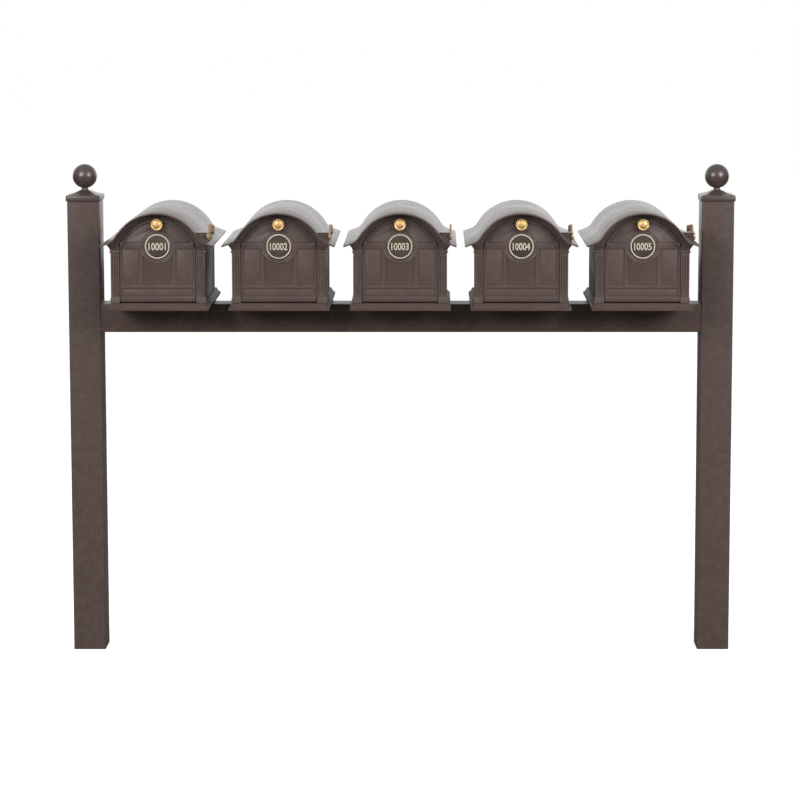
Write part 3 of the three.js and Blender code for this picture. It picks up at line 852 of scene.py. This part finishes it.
class MAILBOX_OT_posts(bpy.types.Operator):
    """Two square aluminium posts with rounded corners"""

    bl_idname = "mailbox.posts"
    bl_label = "Posts"

    def execute(self, context):
        corner = context.scene.mailbox_castings.post_corner * MM
        spans = (POST_FOOT.x, POST_TOP.x), (POST_FOOT.y, POST_TOP.y)
        post = lofted("post", [(*spans, POST_FOOT.z), (*spans, POST_TOP.z)], corner)
        opened_tube(post, Z)
        for_each_side(post, "post_tube", POST_X, "Bronze enamel", "post")
        return {"FINISHED"}


class MAILBOX_OT_caps(bpy.types.Operator):
    """Post caps: a moulded skirt, a hollow-sided pyramid, a turned neck and a ball"""

    bl_idname = "mailbox.caps"
    bl_label = "Post caps"

    def execute(self, context):
        skirt_top = CAP_HIGH.z - (BALL_MIDDLE + BALL_RADIUS) * MM

        def ring(half, height):
            span = half * MM
            return (POST_X - span, POST_X + span), (-span, span), height

        band = [(53.4, -19), (54.6, -17.5), (55, -15), (55, -5.5), (54.4, -2.4), (52.6, -0.5)]
        slope = [(50.0, 0.2), (43, 1.6), (34, 4.2), (25, 8.2), (17, 12.4), (10, 15)]
        rings = [ring(half, skirt_top + height * MM) for half, height in (*band, *slope)]
        skirt = lofted("cap", rings, 5 * MM)
        ends = (CAP_LOW.z - 5 * MM, POST_TOP.z + GAP * MM)
        cut(skirt, lofted("socket", [ring(SOCKET_HALF, height) for height in ends], 4.2 * MM))
        neck = [(0, 2), (19, 2.6), (15.6, 7.5), (12.6, 13), (10.6, 17), (10, 19.5), (10.2, 21)]
        collar = [(12, 22.2), (15.2, 22.6), (17, 23.6), (16.6, 24.6)]
        start = math.asin(16 / BALL_RADIUS)
        ball = [
            (BALL_RADIUS * math.sin(angle), BALL_MIDDLE - BALL_RADIUS * math.cos(angle))
            for angle in [start + (math.pi - start) * i / 22 for i in range(22)]
        ]
        top = [(0, BALL_MIDDLE + BALL_RADIUS)]
        foot = Vector((POST_X, 0, skirt_top))
        finial = spun("finial", [*neck, *collar, *ball, *top], foot, Z, 48)
        joined(skirt, finial)
        softened(skirt, 0.5, angle=50)
        # The caps take the bronze darkened as painted shade
        for_each_side(skirt, "cap_casting", POST_X, "Gloss enamel", "post_cap", 40)
        return {"FINISHED"}


class MAILBOX_OT_crossbeam(bpy.types.Operator):
    """A rectangular tube between the posts, with a hole for a screw near each end"""

    bl_idname = "mailbox.crossbeam"
    bl_label = "Crossbeam"

    def execute(self, context):
        corner = context.scene.mailbox_castings.post_corner * MM
        spans = (BEAM_LOW.x, BEAM_HIGH.x), (BEAM_LOW.y, BEAM_HIGH.y)
        beam = lofted("crossbeam_tube", [(*spans, BEAM_LOW.z), (*spans, BEAM_HIGH.z)])
        with editing(beam):
            pick(beam, "EDGE", lambda edge: abs((edge.verts[0].co - edge.verts[1].co).x) > 1)
            bpy.ops.mesh.bevel(offset=corner, segments=4, affect="EDGES")
        opened_tube(beam, X)
        for side in (-1, 1):
            foot = Vector((side * SCREW_X, 0, BEAM_LOW.z - 2 * MM))
            cut(beam, spun("bore", [(0, 0), (3.4, 0), (3.4, 8), (0, 8)], foot, Z, 24))
        finished(beam, "root", "Satin enamel", ["crossbeam"])
        return {"FINISHED"}


# ---- The boxes ----


class MAILBOX_OT_shells(bpy.types.Operator):
    """Box bodies: a moulded base, two side walls and an arched back, open to the front"""

    bl_idname = "mailbox.shells"
    bl_label = "Box bodies"

    def execute(self, context):
        radius = context.scene.mailbox_castings.edge_radius
        foot = [(10.6, 0), (11.5, 1.2), (11.5, 7.6), (10.9, 8.7), (9.6, 9.3), (8.2, 9.6)]
        cove = [(6.2, 11.4), (4.3, 14), (2.7, 17), (1.6, 19.6), (0.9, 21.2), (0, 21.8)]
        rings = []
        for reach, height in (*foot, *cove, (0, BASE_HEIGHT)):
            half_x = LEDGE_HALF_X + reach
            half_y = LEDGE_HALF_Y + reach
            rings.append(((-half_x, half_x), (-half_y, half_y), height))
        shell = box_lofted("shell", rings, 1.5)
        outline = [*under_roof_line(BODY_HALF), (BODY_HALF, 3), (-BODY_HALF, 3)]
        walls = front_prism("walls", outline, FRAME_BACK + GAP, BODY_BACK)
        joined(shell, walls)
        inner = BODY_HALF - BODY_WALL
        back = BODY_BACK - BODY_WALL
        room = ((-inner, inner), (FRAME_BACK + BODY_WALL, back))
        mouth = ((-inner, inner), (FRAME_BACK - 1, FRAME_BACK + BODY_WALL + 1))
        cut(shell, box_lofted("room", [(*room, FLOOR), (*room, FAR)], 3))
        cut(shell, box_lofted("mouth", [(*mouth, BASE_HEIGHT), (*mouth, FAR)]))
        softened(shell, radius)
        for_each_box(shell, "shell", "root", "Matt enamel", ["body"])
        return {"FINISHED"}


class MAILBOX_OT_roofs(bpy.types.Operator):
    """Roofs: a bent sheet with a round crown and flared eaves"""

    bl_idname = "mailbox.roofs"
    bl_label = "Roofs"

    def execute(self, context):
        section = [*roof_line(0), *reversed(roof_line(ROOF_SHEET))]
        roof = front_prism("roof", section, -ROOF_HALF, ROOF_HALF)
        softened(roof, 0.6, angle=45)
        for_each_box(roof, "roof_sheet", "root", "Bronze enamel", ["roof"], 30)
        return {"FINISHED"}


def capital(ring):
    """A necking and a flared abacus, from what turns a step, a height and a reach into a ring."""
    necking = [ring(step, height, step) for step, height in NECKING]
    abacus = [ring(*moulding) for moulding in ABACUS]
    return box_lofted("necking", necking), box_lofted("abacus", abacus)


def pilaster():
    """A fluted shaft between a moulded plinth and a flared capital, on the right."""
    outer = LEDGE_HALF_X
    face = PILASTER_FACE

    def ring(step, height, reach=None):
        right = outer + (step if reach is None else reach)
        return (OPENING_HALF, right), (face - step, FRAME_BACK), height

    shaft = box_lofted("pilaster", [ring(0, 40), ring(0, 181)])
    middle = (OPENING_HALF + outer) / 2
    for offset in (-7.5, 0, 7.5):
        profile = [(0, 50), (1.2, 50.6), (2, 52.4), (2, 169), (1.2, 170.8), (0, 171.4)]
        cut(shaft, spun("flute", profile, at(middle + offset, face + 0.4, 0), Z, 16))
    steps = ((2, FRAME_FOOT), (2, 37.5), (1.6, 38.4), (0.9, 39), (0.9, 40.6), (0.2, 42.3))
    plinth = box_lofted("plinth", [ring(step, height) for step, height in steps])
    return joined(shaft, plinth, *capital(ring))


def arch_bead(name, section):
    """A moulding swept round the arch, from a closed section of radii and depths behind it."""
    turn = math.radians(136)
    start = -turn / 2
    points = []
    for radius, y in section:
        height = CROWN_CENTRE + radius * math.cos(start)
        points.append(at(radius * math.sin(start), ARCH_FACE + y, height))
    bead = traced(name, points)
    with editing(bead, "FACE"):
        select_whole()
        bpy.ops.mesh.spin(steps=56, angle=turn, center=at(0, 0, CROWN_CENTRE), axis=-Y)
        face_outwards()
    return bead


class MAILBOX_OT_fronts(bpy.types.Operator):
    """Front frames: fluted pilasters with capitals under a moulded arch"""

    bl_idname = "mailbox.fronts"
    bl_label = "Front frames"

    def execute(self, context):
        radius = context.scene.mailbox_castings.edge_radius
        half = LEDGE_HALF_X
        arch_radius = DOOR_RADIUS + OPENING_HALF - DOOR_HALF
        opening = arched(OPENING_HALF, arch_radius, FRAME_FOOT, 40)
        over = [(-half, FRAME_FOOT), *under_roof_line(half), (half, FRAME_FOOT)]
        front = front_prism("front", [*over, *reversed(opening)], ARCH_FACE, FRAME_BACK)
        inner = [(127.2, 1), (127.2, -0.6), (128, -1.5), (129.6, -1.5), (130.4, -0.6), (130.4, 1)]
        outer = [(134.4, 1), (134.4, -0.9), (135.4, -1.9), (141.4, -1.9), (141.4, 1)]
        beads = [arch_bead("inner_bead", inner), arch_bead("outer_bead", outer)]
        right = pilaster()
        left = copied(right, "left_pilaster", mirror=True)
        joined(front, *beads, right, left)
        trimmed(front, under_roof("under_roof"))
        pin_seat = OPENING_HALF + 14
        cut(front, bar("pin_seat", PIN_BORE, -pin_seat, pin_seat, HINGE_Y, HINGE_Z))
        softened(front, 0.5 * radius, angle=35, cleaned=False)
        replaced = ["front_frame"]
        for_each_box(front, "front_casting", "root", "Bronze enamel", replaced)
        return {"FINISHED"}


def panel_cutter(name, outline, border):
    """What is cut from the door for one panel: a sunk border round a raised field."""
    front = PANEL_FACE - 8
    face = PANEL_FACE - 2.5
    cutter = front_prism(name, outline, front, face)
    with editing(cutter):
        pick(cutter, "FACE", facing(Y, at(0, face, 0).y))
        inset(0.7, 2.5)
        inset(border)
        inset(1.1, -1.3)
    return cutter


def capital_return():
    """The capital's inner half, on the door's right upper corner."""
    face = PILASTER_FACE

    def ring(step, height, reach):
        return (DOOR_HALF - reach, DOOR_HALF + 3), (face - step, DOOR_BACK - 3), height

    return joined(*capital(ring))


class MAILBOX_OT_doors(bpy.types.Operator):
    """Doors: an arched plate with raised panels, a boss for the plaque and a hinge knuckle"""

    bl_idname = "mailbox.doors"
    bl_label = "Doors"

    def execute(self, context):
        castings = context.scene.mailbox_castings
        outline = arched(DOOR_HALF, DOOR_RADIUS, HINGE_Z - 20, 40)
        blank = arched(DOOR_HALF + 2, DOOR_RADIUS + 2, HINGE_Z - 2, 40)
        door = front_prism("door", blank, ARCH_FACE, DOOR_BACK)
        edge, outer, inner = 112, 56, 45
        low, tall = (41, 70), (77, 194)
        tympanum_foot, tympanum_radius = 208, 118.5
        spring = math.acos((tympanum_foot - CROWN_CENTRE) / tympanum_radius)
        tympanum = arc(0, CROWN_CENTRE, tympanum_radius, -spring, spring, 32)
        spans = (-edge, -outer, tall), (-inner, inner, tall), (outer, edge, tall)
        fields = [
            [(x0, z0), (x0, z1), (x1, z1), (x1, z0)]
            for x0, x1, (z0, z1) in (*spans, (-edge, edge, low))
        ]
        border = castings.panel_border
        cut(door, *[panel_cutter("panel", field, border) for field in (*fields, tympanum)])
        centre = at(0, 0, PLAQUE_HEIGHT)
        rise = -BOSS_FACE
        lip = [(54, 2.6), (53.2, 1.2), (51.8, 0.7), (50.4, 1.2), (49.6, 2.2), (48.2, 2.2)]
        bead = [(47.4, 1.0), (46, 0.5), (44.6, 1.0), (43.6, 1.9), (42.4, 1.9), (41.2, 0.6)]
        turned = [(radius, rise - drop) for radius, drop in (*lip, *bead, (40, 0), (0, 0))]
        back = 2 - DOOR_BACK
        boss = spun("boss", [(0, back), (54, back), *turned], centre, -Y, 72)
        knuckle_end = DOOR_HALF + 1
        knuckle = bar("knuckle", KNUCKLE_RADIUS, -knuckle_end, knuckle_end, HINGE_Y, HINGE_Z, 32)
        outside = [(0, 0), (13.4, 0), (13.4, 7.4), (12.6, 8.2)]
        inside = [(10.2, 8.2), (9.6, 7.4), (9.6, 6.4), (0, 6.4)]
        collar_foot = at(0, DOOR_BACK - 2, KNOB_HEIGHT)
        collar = spun("collar", [*outside, *inside], collar_foot, -Y)
        right = capital_return()
        left = copied(right, "left_return", mirror=True)
        under_arch = front_prism("under_arch", outline, PILASTER_FACE - 20, DOOR_BACK + 10)
        joined(door, boss, collar, right, left, knuckle, solver="FAST")
        trimmed(door, under_arch, solver="FAST")
        pin_bore = bar("pin_bore", PIN_BORE, -knuckle_end, knuckle_end, HINGE_Y, HINGE_Z)
        cut(door, pin_bore, solver="FAST")
        stud_bore = [(0, -5), (PIN_BORE, -5), (PIN_BORE, 20), (0, 20)]
        bore = spun("stud_bore", stud_bore, at(0, DOOR_BACK, KNOB_HEIGHT), -Y, 24)
        cut(door, bore, solver="FAST")
        softened(door, 0.5 * castings.edge_radius, angle=35, cleaned=False)
        for_each_box(door, "door_casting", "door", "Cast enamel", ["door"])
        return {"FINISHED"}


class MAILBOX_OT_knobs(bpy.types.Operator):
    """Turned brass knobs with a raised rim and a domed middle"""

    bl_idname = "mailbox.knobs"
    bl_label = "Knobs"

    def execute(self, context):
        stud = [(0, -9), (2.6, -9), (3, -8.6), (3, 0.3)]
        neck = [(8.3, 0.3), (8.3, 1.8), (7.4, 2.8), (6.9, 6), (7.1, 10.4), (8.8, 12.4)]
        skirt = [(13, 14.2), (16.4, 15.8), (18.1, 17.6), (18.5, 19.3), (18.3, 21)]
        rim = [(17.5, 22.4), (16.5, 23), (15.6, 22.9), (14.9, 22.3), (14.2, 21.7)]
        dome = [(12.9, 21.6), (11.4, 22), (10.4, 22.9), (9, 23.5), (6, 24), (3, 24.3), (0, 24.4)]
        profile = [*stud, *neck, *skirt, *rim, *dome]
        knob = spun("knob", profile, at(0, PANEL_FACE, KNOB_HEIGHT), -Y, 56)
        softened(knob, 0.25, angle=50)
        for_each_box(knob, "knob_turning", "door", "Brass", ["door_knob"], 45)
        return {"FINISHED"}


class MAILBOX_OT_plaques(bpy.types.Operator):
    """Round plaques: an enamelled rim round a textured field"""

    bl_idname = "mailbox.plaques"
    bl_label = "Number plaques"

    def execute(self, context):
        foot = at(0, BOSS_FACE, PLAQUE_HEIGHT)
        edge = [(34.6, 0.3), (38.2, 0.3), (38.5, 0.8), (38.5, 3.2), (38.1, 4.2)]
        crest = [(37.2, 4.8), (36.6, 5), (35.6, 4.8), (35, 4.4), (34.6, 3.8)]
        rim = spun("rim", [*edge, *crest], foot, -Y, 72, closed=True)
        disc = [(0, 0.3), (34.4, 0.3), (34.4, 3.2), (34.1, 3.5), (0, 3.5)]
        field = spun("field", disc, foot, -Y, 72)
        replaced = ["number_plaque"]
        for_each_box(rim, "plaque_rim", "door", "Cream enamel", replaced, 50)
        for_each_box(field, "plaque_field", "door", "Textured field")
        return {"FINISHED"}


class MAILBOX_OT_numerals(bpy.types.Operator):
    """Raised five-figure numbers, one for each box"""

    bl_idname = "mailbox.numerals"
    bl_label = "Numerals"

    def execute(self, context):
        height = context.scene.mailbox_castings.numeral_height * MM
        for number in BOX_NUMBERS:
            bpy.ops.object.select_all(action="DESELECT")
            bpy.ops.object.text_add()
            text = context.object
            text.name = f"mailbox_{number}_numerals"
            text.data.body = str(10000 + number)
            text.data.extrude = 0.9 * MM
            text.data.offset = STROKE_WEIGHT
            text.data.resolution_u = 4
            bpy.ops.object.convert(target="MESH")
            shape = [vertex.co for vertex in text.data.vertices]
            low = Vector(min(co[i] for co in shape) for i in range(3))
            high = Vector(max(co[i] for co in shape) for i in range(3))
            face = FIELD_FACE * MM - 0.3 * MM
            middle = Vector((box_middle(number), face, BOX_FOOT + PLAQUE_HEIGHT * MM))
            wider = NUMERALS_WIDTH * MM / (high.x - low.x)
            taller = height / (high.y - low.y)
            text.data.transform(Matrix.Translation(-(low + high) / 2))
            text.data.transform(Matrix.Diagonal((wider, taller, 1, 1)))
            text.data.transform(Matrix.Rotation(math.radians(90), 4, "X"))
            text.data.transform(Matrix.Translation(middle))
            with editing(text):
                face_outwards()
            finished(text, f"mailbox_{number}_door", "Cream enamel", smooth=30)
        return {"FINISHED"}


class MAILBOX_OT_flag_brackets(bpy.types.Operator):
    """Flag brackets: a casting saddled on the roof's right slope, with a scroll in its front"""

    bl_idname = "mailbox.flag_brackets"
    bl_label = "Flag brackets"

    def execute(self, context):
        line = [(x, z) for x, z in roof_line(-GAP) if 0 < x and z < BRACKET_TOP]
        slope = [(x, z) for x, z in line if x < BRACKET_FACE - 0.5]
        beyond = next((x, z) for x, z in line if x > BRACKET_FACE)
        here = slope[-1]
        share = (BRACKET_FACE - here[0]) / (beyond[0] - here[0])
        foot = here[1] + (beyond[1] - here[1]) * share
        saddle = math.sqrt((CROWN_RADIUS + GAP) ** 2 - (BRACKET_TOP - CROWN_CENTRE) ** 2)
        outer = [(BRACKET_FACE, foot), (BRACKET_FACE, BRACKET_TOP)]
        outline = [(saddle, BRACKET_TOP), *slope, *outer]
        bracket = front_prism("bracket", outline, BRACKET_FRONT, BRACKET_REAR)
        with editing(bracket):
            for direction, place in ((-Y, -BRACKET_FRONT), (Y, BRACKET_REAR)):
                pick(bracket, "FACE", facing(direction, place * MM))
                inset(2.6)
                inset(0.5, -4)
        centre = at(145.8, BRACKET_FRONT + 4.6, 235.6)
        curl = [(3.4, 0), (6.4, 0), (6.4, 3.4), (5.7, 4.2), (4.1, 4.2), (3.4, 3.4)]
        scroll = spun("scroll", curl, centre, -Y, 28, closed=True)
        pip = spun("pip", [(0, 0), (1.9, 0), (1.9, 2.6), (1.2, 3.4), (0, 3.7)], centre, -Y, 16)
        joined(bracket, scroll, pip)
        cut(bracket, bar("stud_bore", 4.4, BRACKET_FACE - 12, BRACKET_FACE + 1, PIVOT_Y, PIVOT_Z))
        softened(bracket, 0.5, angle=35)
        replaced = ["flag_bracket"]
        for_each_box(bracket, "flag_saddle", "root", "Bronze enamel", replaced)
        return {"FINISHED"}


def corner_of_paddle(edge):
    """The edges that run through the paddle's thickness, clear of the hub."""
    run = edge.verts[0].co - edge.verts[1].co
    return abs(run.x) > 0.9 * FLAG_THICKNESS * MM and edge.verts[0].co.y > (PIVOT_Y + 20) * MM


class MAILBOX_OT_flags(bpy.types.Operator):
    """Brass flags: a tapering paddle with a raised border on a riveted hub"""

    bl_idname = "mailbox.flags"
    bl_label = "Flags"

    def execute(self, context):
        low = PIVOT_Z - 12
        outline = [
            *arc(PIVOT_Y, PIVOT_Z, 12, math.pi, math.tau, 16),
            (-194, PIVOT_Z + 12),
            (-168, low + 44),
            (-22, low + 27),
            (-8, low),
        ]
        flag = side_prism("flag", outline, FLAG_FACE, FLAG_FACE + FLAG_THICKNESS)
        with editing(flag):
            pick(flag, "EDGE", corner_of_paddle)
            bpy.ops.mesh.bevel(offset=3 * MM, segments=4, affect="EDGES")
            for direction, x in ((X, FLAG_FACE + FLAG_THICKNESS), (-X, -FLAG_FACE)):
                pick(flag, "FACE", facing(direction, x * MM))
                inset(3.2)
                inset(0.7, -0.8)
        stud = [(0, 144), (3.6, 144), (4, 144.4), (4, 155.6), (9.5, 155.6), (9.5, 160.4)]
        head = [(6.4, 160.6), (6.4, 161.3), (5.3, 162.2), (3, 162.8), (0, 163)]
        rivet = spun("rivet", [*stud, *head], at(0, PIVOT_Y, PIVOT_Z), X, 32)
        joined(flag, rivet)
        softened(flag, 0.4, angle=35)
        for_each_box(flag, "flag_casting", "flag", "Flag brass", ["flag"])
        return {"FINISHED"}


# ---- Fasteners and fittings ----


def hexagon(name, radius, height, washer):
    """A six-sided head with chamfered corners on a round washer, standing on the origin."""
    circle = {"vertices": 6, "radius": radius * MM, "fill_type": "NGON"}
    head = started(name, bpy.ops.mesh.primitive_circle_add, **circle)
    with editing(head, "FACE"):
        select_whole()
        bpy.ops.mesh.extrude_region_move(TRANSFORM_OT_translate={"value": Z * height * MM})
        inset(0.5, 0.35)
        face_outwards()
    under = [(0, -0.1), (washer - 0.3, -0.1), (washer, 0.2)]
    over = [(washer, 0.9), (washer - 0.4, 1.2), (0, 1.2)]
    return joined(head, spun("washer", [*under, *over], ORIGIN, Z, 28))


class MAILBOX_OT_fasteners(bpy.types.Operator):
    """Bolts in the box floors, nuts behind the knobs and domed screws under the crossbeam"""

    bl_idname = "mailbox.fasteners"
    bl_label = "Fasteners"

    def execute(self, context):
        bolt = hexagon("bolt", 5.6, 5, 9)
        places = [(x, y) for x in (-95, 95) for y in (-36, 36)]
        bolts = [copied(bolt, "bolt_copy", at(x, y, FLOOR)) for x, y in places]
        bpy.data.meshes.remove(bolt.data)
        for_each_box(gathered("bolts", bolts), "floor_bolts", "root", "Brushed steel")
        nut = hexagon("nut", 5.4, 3.4, 7.4)
        cut(nut, spun("nut_bore", [(0, -1), (3.2, -1), (3.2, 9), (0, 9)], ORIGIN, Z, 20))
        nut.data.transform(Matrix.Rotation(math.radians(-90), 4, "X"))
        nut.data.transform(Matrix.Translation(at(0, DOOR_BACK, KNOB_HEIGHT)))
        softened(nut, 0.2)
        for_each_box(nut, "knob_nut", "door", "Brushed steel")
        seat = Vector((SCREW_X, 0, SCREW_LOW.z + 4 * MM))
        dome = [(0, -4), (2.4, -3.9), (4.3, -3.2), (5.5, -2), (6, -0.8), (6, -0.2), (5.8, 0)]
        screw = spun("screw", [*dome, (3, 0), (3, 13.6), (2.6, 14), (0, 14)], seat, Z, 32)
        socket = hexagon("socket", 2.4, 3, 2)
        socket.data.transform(Matrix.Translation(seat - Z * 5.4 * MM))
        cut(screw, socket)
        softened(screw, 0.2, angle=45)
        for_each_side(screw, "beam_screw_domed", SCREW_X, "Brushed steel", "beam_screw")
        return {"FINISHED"}


class MAILBOX_OT_catches(bpy.types.Operator):
    """Door catches: a ceramic magnet on a plate fixed behind the arch"""

    bl_idname = "mailbox.catches"
    bl_label = "Door catches"

    def execute(self, context):
        span = (24, 48)
        plate_face = FRAME_BACK + GAP
        magnet_face = DOOR_BACK + GAP
        foot, top, plate_top = 258, 274, 292.6
        block = (span, (magnet_face, magnet_face + 11))
        magnet = box_lofted("magnet", [(*block, foot), (*block, top)], 1.2)
        sheet = (plate_face, plate_face + 2.2)
        rings = [(span, sheet, top - 0.5), (span, sheet, plate_top - 5)]
        plate = box_lofted("plate", [*rings, ((27, 45), sheet, plate_top)])
        head = [(0, 0), (3.4, 0), (3.4, 0.8), (2.6, 1.7), (1.2, 2.1), (0, 2.2)]
        screws = [spun("screw", head, at(x, plate_face + 2, 282), Y, 20) for x in (30.5, 41.5)]
        joined(plate, *screws)
        softened(plate, 0.3)
        softened(magnet, 0.6)
        for_each_box(plate, "catch_plate", "root", "Brushed steel", ["door_catch"])
        for_each_box(magnet, "catch_magnet", "root", "Black ceramic")
        return {"FINISHED"}


class MAILBOX_OT_fittings(bpy.types.Operator):
    """Finish for the pieces that stay as the frame has them: hinge pins and beam brackets"""

    bl_idname = "mailbox.fittings"
    bl_label = "Pins and brackets"

    def execute(self, context):
        names = [f"mailbox_{number}_hinge_pin" for number in BOX_NUMBERS]
        names += [f"{side}_beam_bracket" for side in POST_SIDES]
        for name in names:
            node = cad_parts[name]
            node.data.materials.clear()
            node.data.materials.append(finish_named("Brushed steel"))
        return {"FINISHED"}


# ---- Floor, light and camera ----


def floor_finish():
    """Pale matt floor, white to the camera and dark to the unit."""
    studio = bpy.context.scene.mailbox_studio
    material, tree, shader, place = blank_material("Studio floor")
    noise = noise_in(tree, place["Object"], 6.0, 4.0)
    dim = tuple(0.97 * c for c in studio.floor)
    base = blended(tree, noise, (*studio.floor, 1), (*dim, 1))
    seen = tree.nodes.new("ShaderNodeLightPath").outputs["Is Camera Ray"]
    colour = blended(tree, seen, (FLOOR_RETURN, FLOOR_RETURN, FLOOR_RETURN, 1), base)
    tree.links.new(colour, shader.inputs["Base Color"])
    tree.links.new(product(tree, seen, FLOOR_GLOW), shader.inputs["Emission Strength"])
    set_on(shader, Roughness=0.9, Specular_IOR_Level=0.2, Emission_Color=(1, 1, 1, 1))
    return material


def lamp_at(name, place, target, size, energy):
    """A rectangular lamp that faces its target and stays out of the picture."""
    lamp = bpy.data.lights.new(name, "AREA")
    lamp.shape = "RECTANGLE"
    lamp.size, lamp.size_y = size
    lamp.energy = energy
    light = bpy.data.objects.new(name, lamp)
    light.location = place
    light.rotation_euler = (target - Vector(place)).to_track_quat("-Z", "Y").to_euler()
    light.visible_camera = False
    bpy.context.scene.collection.objects.link(light)


class MAILBOX_OT_stage(bpy.types.Operator):
    """A plain pale floor, a dim white room, two softboxes, a card behind and the camera"""

    bl_idname = "mailbox.stage"
    bl_label = "Stage"

    def execute(self, context):
        studio = context.scene.mailbox_studio
        plane = {"size": FLOOR_SIZE, "location": (0, 0, POST_FOOT.z)}
        floor = started("floor", bpy.ops.mesh.primitive_plane_add, **plane)
        floor.data.materials.append(floor_finish())
        world = bpy.data.worlds.new("Studio")
        world.use_nodes = True
        tree = world.node_tree
        seen = tree.nodes.new("ShaderNodeLightPath").outputs["Is Camera Ray"]
        room = tuple(studio.room_light * c for c in studio.backdrop)
        colour = blended(tree, seen, (*room, 1), (*studio.backdrop, 1))
        tree.links.new(colour, tree.nodes["Background"].inputs["Color"])
        context.scene.world = world
        softboxes = SOFTBOX_TARGET, SOFTBOX_SIZE, studio.softboxes
        lamp_at("softbox_left", SOFTBOX_LEFT, *softboxes)
        lamp_at("softbox_right", SOFTBOX_RIGHT, *softboxes)
        lamp_at("back_card", CARD_PLACE, CARD_TARGET, CARD_SIZE, studio.back_card)
        lens = bpy.data.cameras.new("camera")
        lens.sensor_width = LENS_SENSOR
        lens.lens = LENS_LENGTH
        lens.shift_x, lens.shift_y = LENS_SHIFT
        lens.clip_end = FLOOR_SIZE + 100
        camera = bpy.data.objects.new("camera", lens)
        camera.location = CAMERA_PLACE
        camera.rotation_euler = (math.radians(90 - CAMERA_DIP), 0, 0)
        context.scene.collection.objects.link(camera)
        context.scene.camera = camera
        context.scene.view_settings.view_transform = "Standard"
        return {"FINISHED"}


class MAILBOX_PT_unit(bpy.types.Panel):
    """The unit's pieces and their settings"""

    bl_idname = "MAILBOX_PT_unit"
    bl_label = "Cluster mailbox unit"
    bl_space_type = "VIEW_3D"
    bl_region_type = "UI"
    bl_category = "Mailboxes"

    def draw(self, context):
        for operator in OPERATORS:
            self.layout.operator(operator.bl_idname)
        scene = context.scene
        for settings in (scene.mailbox_castings, scene.mailbox_finishes, scene.mailbox_studio):
            block = self.layout.box()
            for name in settings.__annotations__:
                block.prop(settings, name)


SETTINGS = (MailboxCastings, MailboxFinishes, MailboxStudio)
OPERATORS = (
    MAILBOX_OT_posts,
    MAILBOX_OT_caps,
    MAILBOX_OT_crossbeam,
    MAILBOX_OT_shells,
    MAILBOX_OT_roofs,
    MAILBOX_OT_fronts,
    MAILBOX_OT_doors,
    MAILBOX_OT_knobs,
    MAILBOX_OT_plaques,
    MAILBOX_OT_numerals,
    MAILBOX_OT_flag_brackets,
    MAILBOX_OT_flags,
    MAILBOX_OT_fasteners,
    MAILBOX_OT_catches,
    MAILBOX_OT_fittings,
    MAILBOX_OT_stage,
)


def register():
    for cls in (*SETTINGS, *OPERATORS, MAILBOX_PT_unit):
        bpy.utils.register_class(cls)
    bpy.types.Scene.mailbox_castings = PointerProperty(type=MailboxCastings)
    bpy.types.Scene.mailbox_finishes = PointerProperty(type=MailboxFinishes)
    bpy.types.Scene.mailbox_studio = PointerProperty(type=MailboxStudio)


def unregister():
    del bpy.types.Scene.mailbox_castings
    del bpy.types.Scene.mailbox_finishes
    del bpy.types.Scene.mailbox_studio
    for cls in reversed((*SETTINGS, *OPERATORS, MAILBOX_PT_unit)):
        bpy.utils.unregister_class(cls)


def main():
    register()
    bpy.ops.mailbox.posts()
    bpy.ops.mailbox.caps()
    bpy.ops.mailbox.crossbeam()
    bpy.ops.mailbox.shells()
    bpy.ops.mailbox.roofs()
    bpy.ops.mailbox.fronts()
    bpy.ops.mailbox.doors()
    bpy.ops.mailbox.knobs()
    bpy.ops.mailbox.plaques()
    bpy.ops.mailbox.numerals()
    bpy.ops.mailbox.flag_brackets()
    bpy.ops.mailbox.flags()
    bpy.ops.mailbox.fasteners()
    bpy.ops.mailbox.catches()
    bpy.ops.mailbox.fittings()
    bpy.ops.mailbox.stage()


if __name__ == "__main__":
    main()
